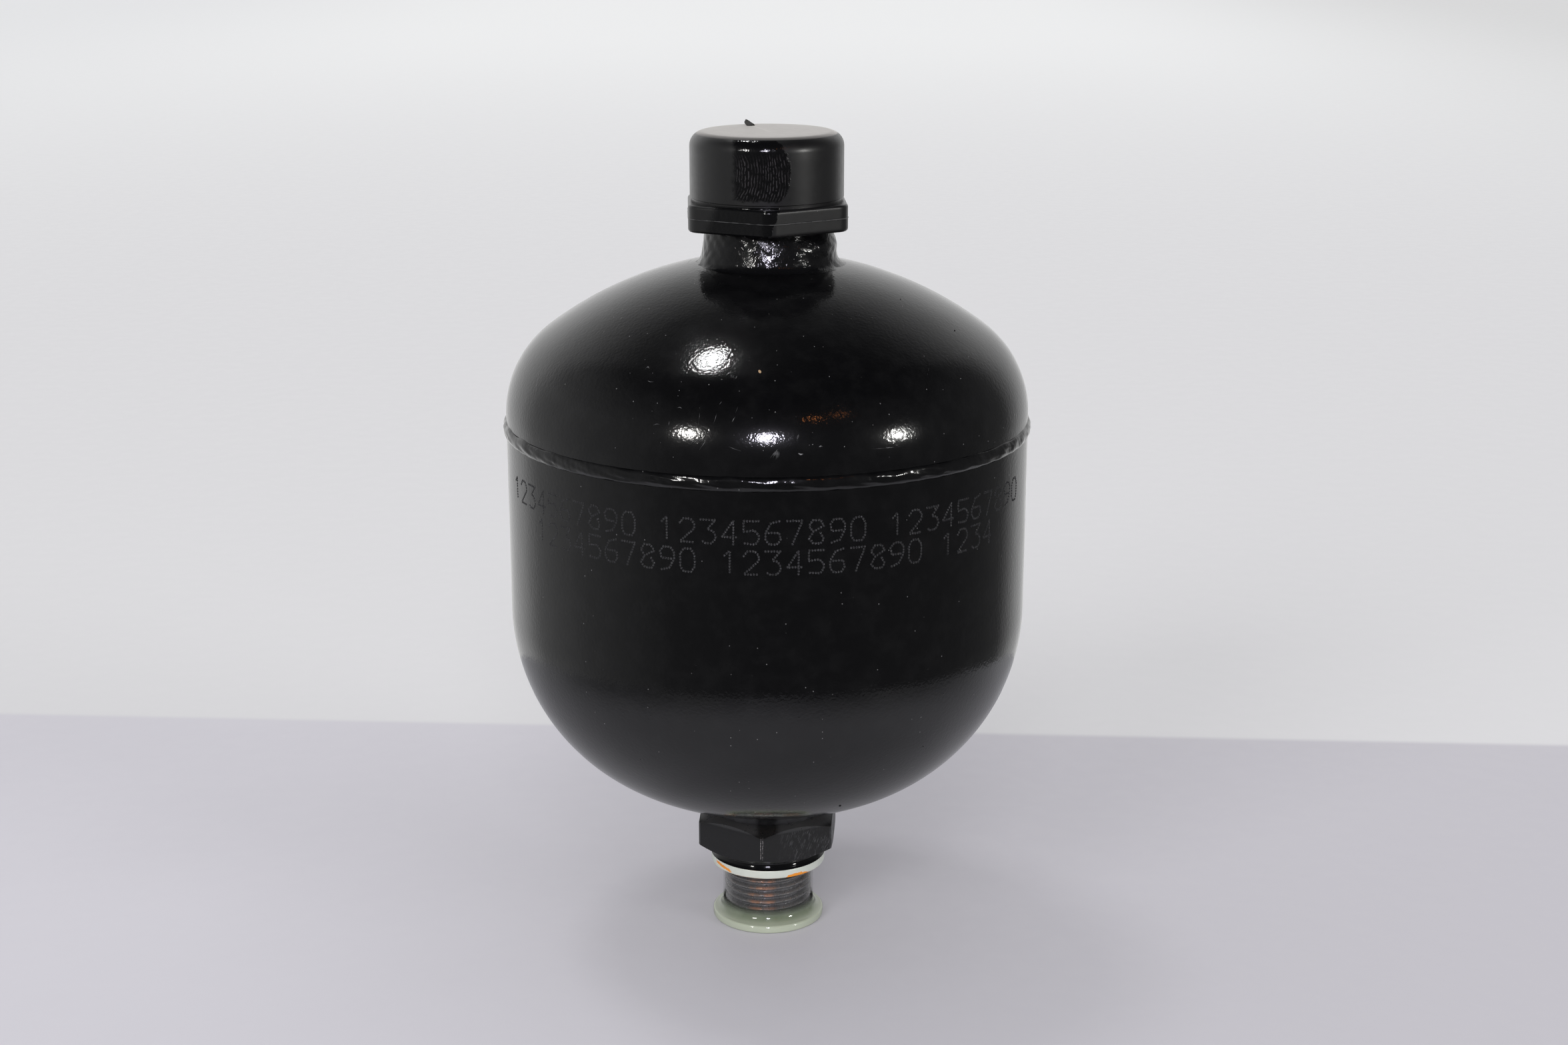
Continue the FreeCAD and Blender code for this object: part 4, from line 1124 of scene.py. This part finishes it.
def on_shell(pixel_x, pixel_y):
    """The point of the shells' outside that a pixel shows, or None beside them."""
    start, direction = ray(pixel_x, pixel_y)
    points = start + RAY_STEPS[:, None] * direction
    inside = np.hypot(points[:, 0], points[:, 1]) < shell_radius_at(points[:, 2])
    return points[np.argmax(inside)] if inside.any() else None


def shell_normal(point):
    """Outward direction of the shells' surface at a point."""
    here = math.hypot(point[0], point[1])
    nearest = np.argmin(np.hypot(OUTER_PROFILE[:, 0] - here, OUTER_PROFILE[:, 1] - point[2]))
    low = OUTER_PROFILE[max(nearest - 1, 0)]
    high = OUTER_PROFILE[min(nearest + 1, len(OUTER_PROFILE) - 1)]
    along = (high - low) / np.hypot(*(high - low))
    return np.array((along[1] * point[0] / here, along[1] * point[1] / here, -along[0]))


class Marks:
    """Small closed raised marks gathered into one mesh."""

    def __init__(self):
        self.vertices = []
        self.faces = []

    def rings(self, centre, normal, profile, sides=8, squash=1.0, turn=0.0):
        """Adds a mark turned round its own normal; profile holds (radius, lift) from the rim in."""
        across = np.cross(normal, (0.0, 0.0, 1.0))
        across = across / max(np.linalg.norm(across), 1e-9)
        along = np.cross(normal, across)
        first = len(self.vertices)
        for radius, lift in profile:
            for k in range(sides):
                a = TURN * k / sides
                u = radius * math.cos(a)
                v = radius * math.sin(a) * squash
                c, s = math.cos(turn), math.sin(turn)
                spot = centre + (u * c - v * s) * across + (u * s + v * c) * along + lift * normal
                self.vertices.append((spot * MM).tolist())
        self.faces += grid_faces(len(profile), sides, False, first)[:, ::-1].tolist()
        last = first + (len(profile) - 1) * sides
        self.faces.append(list(range(first, first + sides)))
        self.faces.append(list(range(last + sides - 1, last - 1, -1)))

    def streak(self, pixels, width, lift=0.02):
        """Adds a thin raised line through pixels of the photograph, tapered to both ends."""
        corners = [on_shell(x, y) for x, y in pixels]
        count = 3 * len(corners) + 1
        places = np.linspace(0, len(corners) - 1, count)
        known = range(len(corners))
        path = np.stack([np.interp(places, known, axis) for axis in np.array(corners).T], axis=-1)
        first = len(self.vertices)
        for k, spot in enumerate(path):
            normal = shell_normal(spot)
            along = path[min(k + 1, count - 1)] - path[max(k - 1, 0)]
            side = np.cross(along, normal)
            side = side / np.linalg.norm(side)
            half = 0.5 * width * max(math.sin(math.pi * (k + 0.35) / (count - 0.3)), 0.12)
            for move in (side * half, normal * lift, -side * half, normal * MARK_FOOT):
                self.vertices.append(((spot + move) * MM).tolist())
        self.faces += grid_faces(count, 4, False, first).tolist()
        last = first + 4 * (count - 1)
        self.faces.append(list(range(first + 3, first - 1, -1)))
        self.faces.append(list(range(last, last + 4)))

    def make(self, name, material):
        settle(new_object(name, self.vertices, self.faces, 70), "shell_paint", None, material)


STROKES = {
    "0": [(0, .25), (0, .75), (.25, 1), (.75, 1), (1, .75), (1, .25), (.75, 0), (.25, 0), (0, .2)],
    "1": [(.15, .8), (.5, 1), (.5, 0)],
    "2": [(0, .8), (.25, 1), (.75, 1), (1, .8), (1, .6), (0, 0), (1, 0)],
    "3": [(0, 1), (1, 1), (.45, .6), (.8, .55), (1, .35), (1, .2), (.75, 0), (.25, 0), (0, .15)],
    "4": [(.75, 0), (.75, 1), (0, .3), (1, .3)],
    "5": [(1, 1), (0, 1), (0, .55), (.7, .6), (1, .4), (1, .2), (.75, 0), (0, .05)],
    "6": [(.9, 1), (.35, .9), (0, .5), (0, .2), (.25, 0), (.75, 0), (1, .2), (.9, .5), (.1, .5)],
    "7": [(0, 1), (1, 1), (.35, 0)],
    "8": [(.3, .52), (0, .75), (.25, 1), (.75, 1), (1, .75), (.3, .52), (0, .2), (.3, 0), (.8, 0),
          (1, .2), (.7, .5)],
    "9": [(.1, 0), (.65, .1), (1, .5), (1, .8), (.75, 1), (.25, 1), (0, .8), (.1, .5), (.9, .5)],
}
DIGIT_ROWS = (("1234567890 1234567890 1234567890", 113.9), ("1234567890 1234567890 1234", 107.3))
DIGIT_WIDTH = 3.2
DIGIT_HEIGHT = 5.1
DIGIT_PITCH = 4.6
DOT_SPACING = 0.62
PEEN_DOTS = ((0.29, -0.03), (0.29, 0.006), (0.19, 0.075), (0.13, 0.05), (0.05, 0.004))


def dots_along(stroke):
    """Evenly spaced places along a stroke, as a marking pin makes them."""
    points = np.array(stroke) * (DIGIT_WIDTH, DIGIT_HEIGHT)
    lengths = np.concatenate([[0], np.cumsum(np.hypot(*np.diff(points, axis=0).T))])
    places = np.arange(0, lengths[-1], DOT_SPACING)
    return np.stack([np.interp(places, lengths, points[:, i]) for i in (0, 1)], axis=-1)


def peened_numbers():
    """Two rows of plain counting digits, pricked into the wall of the lower shell."""
    marks = Marks()
    source = np.random.default_rng(5)
    for text, middle in DIGIT_ROWS:
        for place, letter in enumerate(text):
            start = (place - len(text) / 2) * DIGIT_PITCH
            for x, y in dots_along(STROKES[letter]) if letter in STROKES else ():
                along = start + x + source.normal(0, 0.02)
                theta = -math.pi / 2 + along / SHELL_RADIUS
                normal = np.array((math.cos(theta), math.sin(theta), 0.0))
                height = middle - DIGIT_HEIGHT / 2 + y + source.normal(0, 0.02)
                centre = normal * (SHELL_RADIUS - 0.025) + (0, 0, height)
                marks.rings(centre, normal, PEEN_DOTS)
    marks.make("peened_digits", PEENED)


peened_numbers()

DUST_SPOTS = (
    (1442, 568, 0.16), (1244, 565, 0.17), (1132, 491, 0.15), (1109, 587, 0.18), (1019, 586, 0.16),
    (1017, 594, 0.16), (986, 605, 0.18), (978, 617, 0.16), (923, 672, 0.14), (1482, 662, 0.15),
    (1022, 573, 0.1), (979, 560, 0.12), (945, 560, 0.14), (1154, 615, 0.12), (1128, 627, 0.12),
    (1101, 653, 0.12), (1145, 676, 0.14), (1230, 670, 0.22), (1219, 667, 0.16), (1219, 649, 0.14),
    (1214, 668, 0.12), (949, 628, 0.12), (1010, 686, 0.12), (1187, 558, 0.1), (1334, 686, 0.1),
)
DARK_SPOTS = (
    (1432, 496, 0.24), (1351, 449, 0.2), (1260, 1209, 0.34), (960, 1140, 0.2), (1385, 1120, 0.2),
)
SCRATCHES = (
    ([(970, 552), (972, 550), (974, 553)], 0.32),
    ([(971, 571), (975, 573), (981, 573)], 0.14),
    ([(1070, 636), (1073, 628), (1075, 620)], 0.12),
    ([(1079, 607), (1083, 602)], 0.08),
    ([(1098, 633), (1101, 628), (1103, 625)], 0.16),
    ([(1103, 620), (1107, 610)], 0.07),
    ([(1047, 638), (1049, 626), (1051, 610)], 0.06),
    ([(1049, 675), (1054, 668), (1059, 661)], 0.12),
    ([(1039, 667), (1045, 661), (1052, 654)], 0.08),
    ([(980, 638), (985, 636), (990, 637)], 0.1),
    ([(1003, 638), (1004, 632)], 0.1),
    ([(1016, 612), (1020, 611), (1023, 613)], 0.14),
    ([(1093, 670), (1102, 674), (1112, 677)], 0.08),
    ([(1117, 662), (1126, 664), (1136, 667)], 0.09),
    ([(1196, 659), (1197, 655), (1198, 652)], 0.5),
    ([(1197, 680), (1201, 682), (1205, 681)], 0.42),
    ([(1228, 671), (1231, 669), (1234, 670)], 0.2),
    ([(1306, 674), (1331, 672), (1352, 670)], 0.09),
    ([(1329, 671), (1332, 672), (1335, 671)], 0.3),
    ([(1391, 563), (1393, 554), (1394, 545)], 0.12),
)
COMET = ((1104, 557), (1091, 571))
WEDGE = ((1168, 674), (1161, 689))
CHIP = (1139.6, 557.5)


def smear(marks, start, end, spread, count, seed):
    """Fine parallel lines that fan out, as a wiping cloth leaves them."""
    source = np.random.default_rng(seed)
    for k in range(count):
        aside = (k / (count - 1) - 0.5) * spread
        first = source.uniform(0.0, 0.35)
        last = source.uniform(0.6, 1.0)
        pixels = []
        for t in (first, 0.5 * (first + last), last):
            x, y = [a + (b - a) * t for a, b in zip(start, end)]
            pixels.append((x + aside * (0.5 + t), y + 0.3 * aside))
        marks.streak(pixels, source.uniform(0.04, 0.08), 0.012)


def surface_marks():
    """Dust, scratches, smears and one chip, where the photograph shows them."""
    pale = Marks()
    for x, y, radius in DUST_SPOTS:
        spot = on_shell(x, y)
        small = 0.8 * radius
        profile = ((small, MARK_FOOT), (0.8 * small, 0.5 * small), (0.3 * small, 0.8 * small))
        pale.rings(spot, shell_normal(spot), profile, 7, 0.8)
    for pixels, width in SCRATCHES:
        pale.streak(pixels, 0.7 * width)
    smear(pale, *COMET, 14.0, 13, 6)
    smear(pale, *WEDGE, 8.0, 8, 7)
    pale.make("paint_dust_and_scratches", MARKS)
    dark = Marks()
    for x, y, radius in DARK_SPOTS:
        spot = on_shell(x, y)
        profile = ((radius, MARK_FOOT), (0.8 * radius, 0.4 * radius), (0.3 * radius, 0.7 * radius))
        dark.rings(spot, shell_normal(spot), profile, 9, 0.9)
    dark.make("paint_nibs", PAINT)
    chip = Marks()
    middle = on_shell(*CHIP)
    normal = shell_normal(middle)
    profile = ((0.52, MARK_FOOT), (0.44, 0.05), (0.3, 0.02), (0.1, 0.015))
    chip.rings(middle, normal, profile, 9, 0.62, 0.35 + math.pi / 2)
    chip.make("paint_chip", PRIMER)


surface_marks()

# Stage, light and camera

TABLE_EDGE = 128.3
TABLE_TILT = 0.058
DISC_EDGE = 163.0
FLOOR_HEIGHT = -0.02
FLOOR_COLUMNS = 96
FLOOR_NEAR = 200.0
FLOOR_FAR = 6500.0


def floor_material():
    """Pale table and wall, with painted light and shade: the wall paler further back, the table darker to
    the right, and, for the paint's reflections only, a table that darkens away from the object.
    """
    made = Finish("pale_floor", (0.6, 0.6, 0.63), 0.55)
    tilted = made.math("MULTIPLY_ADD", made.x, TABLE_TILT, made.y)
    beyond = made.step(tilted, TABLE_EDGE - 2, TABLE_EDGE + 2)
    # Painted light: the wall is paler further back
    wall = made.mix(made.spread(made.y, 0.4, 3.2), (0.72, 0.715, 0.725), (0.90, 0.905, 0.90))
    shaded = made.mix(made.spread(made.x, -1.3, 1.3), (0.82, 0.825, 0.83), (0.73, 0.73, 0.725))
    side = made.mix(made.spread(made.absolute(made.x), 0.4, 1.3), wall, shaded)
    cloth = made.mix(made.noise(60.0, 3), (0.63, 0.615, 0.66), (0.66, 0.645, 0.69))
    # Painted shade: the table is darker to the right
    table = made.mix(made.spread(made.x, -0.2, 0.2), cloth, (0.565, 0.55, 0.59))
    seen = made.mix(beyond, table, side)
    away = made.step(made.radius(), DISC_EDGE - 43, DISC_EDGE + 33)
    # Painted reflection: the table tone that gloss sees, darker away from the object and most of all in
    # front
    dark = made.mix(made.spread(made.y, -0.12, 0.1), (0.14, 0.14, 0.145), (0.5, 0.5, 0.52))
    mirrored = made.mix(away, (0.43, 0.425, 0.45), dark)
    glossy = made.add("LightPath").outputs["Is Glossy Ray"]
    made.colour(made.mix(glossy, seen, mirrored))
    made.rough(made.noise(8.0, 3), 0.5, 0.65)
    made.bump(made.noise(0.8, 2), 0.002)
    return made.material


def ring_floor(name, inner, outer, glossy):
    """A flat ring of floor, or a disc where it has no inner radius."""
    count = FLOOR_COLUMNS
    theta = even_columns(count)
    radius, height = spread_rows([(inner, FLOOR_HEIGHT), (outer, FLOOR_HEIGHT)], theta)
    points = round_axis(radius, height, theta)
    faces = grid_faces(2, count, False)[:, ::-1].tolist()
    if inner == 0:
        points = np.concatenate([points[1], [[0, 0, FLOOR_HEIGHT * MM]]])
        faces = [(k, (k + 1) % count, count) for k in range(count)]
    made = new_object(name, points.reshape(-1, 3).tolist(), faces)
    made.data.materials.append(FLOOR)
    made.visible_glossy = glossy


FLOOR = floor_material()
ring_floor("floor_near", 0, FLOOR_NEAR, True)
ring_floor("floor_far", FLOOR_NEAR, FLOOR_FAR, False)


LAMP_DISTANCE = 1.3
LAMP_TARGET = (0, 0, 0.1)


def aim(made, direction):
    """Turns a light so that it shines from a direction, and gives the direction at unit length."""
    towards = Vector(direction).normalized()
    made.rotation_euler = towards.to_track_quat("Z", "Y").to_euler()
    return towards


def lamp(name, direction, width, height, radiance, colour=(1.0, 1.0, 1.0)):
    """An oval area lamp that faces the object's middle and shows in gloss."""
    data = bpy.data.lights.new(name, "AREA")
    data.shape = "ELLIPSE"
    data.size = width
    data.size_y = height
    data.color = colour
    data.energy = radiance * math.pi * math.pi * width * height / 4
    made = linked(name, data)
    towards = aim(made, direction)
    made.location = Vector(LAMP_TARGET) + towards * LAMP_DISTANCE
    made.visible_diffuse = False


def soft_light(name, direction, angle, share):
    """Even soft light that gives its share of the table's brightness and doesn't show in gloss."""
    data = bpy.data.lights.new(name, "SUN")
    data.angle = math.radians(angle)
    made = linked(name, data)
    data.energy = share * math.pi / aim(made, direction).z
    made.visible_glossy = False


lamp("lamp_main", (-0.222, 0.168, 0.961), 0.16, 0.105, 48.0)
lamp("lamp_left", (-0.515, -0.772, 0.372), 0.16, 0.14, 50.0, (1.0, 0.98, 0.95))
lamp("lamp_middle", (0.003, -0.931, 0.366), 0.17, 0.19, 52.0, (0.88, 0.85, 1.0))
lamp("lamp_right", (0.815, -0.533, 0.229), 0.155, 0.155, 50.0, (1.0, 0.99, 0.96))
lamp("lamp_warm_low", (0.305, -0.719, 0.625), 0.045, 0.06, 10.0, (1.0, 0.33, 0.1))
lamp("lamp_warm_high", (0.452, -0.612, 0.649), 0.028, 0.036, 11.0, (1.0, 0.33, 0.1))
soft_light("light_above", (-0.222, 0.209, 0.952), 13.0, 0.10)
soft_light("light_left", (-0.534, -0.759, 0.45), 25.0, 0.12)
soft_light("light_middle", (0.0, -0.85, 0.5), 25.0, 0.16)
soft_light("light_right", (0.8, -0.5, 0.35), 25.0, 0.065)


def grey_ramp(tree, value, stops):
    """Grey tones at places from 0 to 1."""
    made = node(tree, "ValToRGB", {0: value})
    elements = made.color_ramp.elements
    while len(elements) < len(stops):
        elements.new(0.5)
    for element, (place, tone) in zip(elements, stops):
        element.position = place
        element.color = (tone, tone, tone, 1)
    return made.outputs[0]


ROOM_TONES = (
    (0.0, 0.78), (0.125, 0.74), (0.167, 0.44), (0.233, 0.36), (0.267, 0.29), (0.328, 0.2), (0.389, 0.09),
    (0.5, 0.05), (0.611, 0.055), (0.75, 0.08), (0.847, 0.13), (0.90, 0.6), (1.0, 0.78),
)
HEIGHT_TONES = ((0.0, 1.0), (0.2, 0.95), (0.42, 0.46), (0.58, 0.12), (0.74, 0.03), (1.0, 0.013))
ROOM_FOR_DIFFUSE = (0.60, 0.60, 0.615, 1.0)
ROOM_FOR_CAMERA = (0.82, 0.825, 0.82, 1.0)


def surroundings():
    """The room: pale behind, darker to the sides and dark behind the camera and overhead."""
    world = bpy.data.worlds.new("room")
    bpy.context.scene.world = world
    world.use_nodes = True
    tree = world.node_tree
    direction = node(tree, "TexCoord").outputs["Generated"]
    x, y, z = node(tree, "SeparateXYZ", {0: direction}).outputs
    back = node(tree, "Math", {0: y, 1: -1.0}, operation="MULTIPLY").outputs[0]
    azimuth = node(tree, "Math", {0: x, 1: back}, operation="ARCTAN2").outputs[0]
    round_room = node(tree, "MapRange", {0: azimuth, 1: -math.pi, 2: math.pi}).outputs[0]
    elevation = node(tree, "Math", {0: z}, operation="ARCSINE").outputs[0]
    lift = node(tree, "MapRange", {0: elevation, 1: 0.0, 2: math.pi / 2}).outputs[0]
    tones = {0: 1.0, 6: grey_ramp(tree, round_room, ROOM_TONES), 7: grey_ramp(tree, lift, HEIGHT_TONES)}
    seen = node(tree, "Mix", tones, data_type="RGBA", blend_type="MULTIPLY").outputs[2]
    path = node(tree, "LightPath").outputs
    for kind, colour in (("Is Diffuse Ray", ROOM_FOR_DIFFUSE), ("Is Camera Ray", ROOM_FOR_CAMERA)):
        seen = node(tree, "Mix", {0: path[kind], 6: seen, 7: colour}, data_type="RGBA").outputs[2]
    tree.links.new(seen, tree.nodes["Background"].inputs[0])


surroundings()


def camera():
    data = bpy.data.cameras.new("camera")
    data.sensor_width = SENSOR_WIDTH
    data.lens = FOCAL_PIXELS / FRAME_WIDTH * SENSOR_WIDTH
    data.clip_start = 0.01
    data.clip_end = 20.0
    made = linked("camera", data)
    made.location = Vector(CAMERA_PLACE) * MM
    made.rotation_euler = (math.radians(90 - CAMERA_PITCH), 0, 0)
    bpy.context.scene.camera = made


camera()
bpy.context.scene.view_settings.view_transform = "Standard"
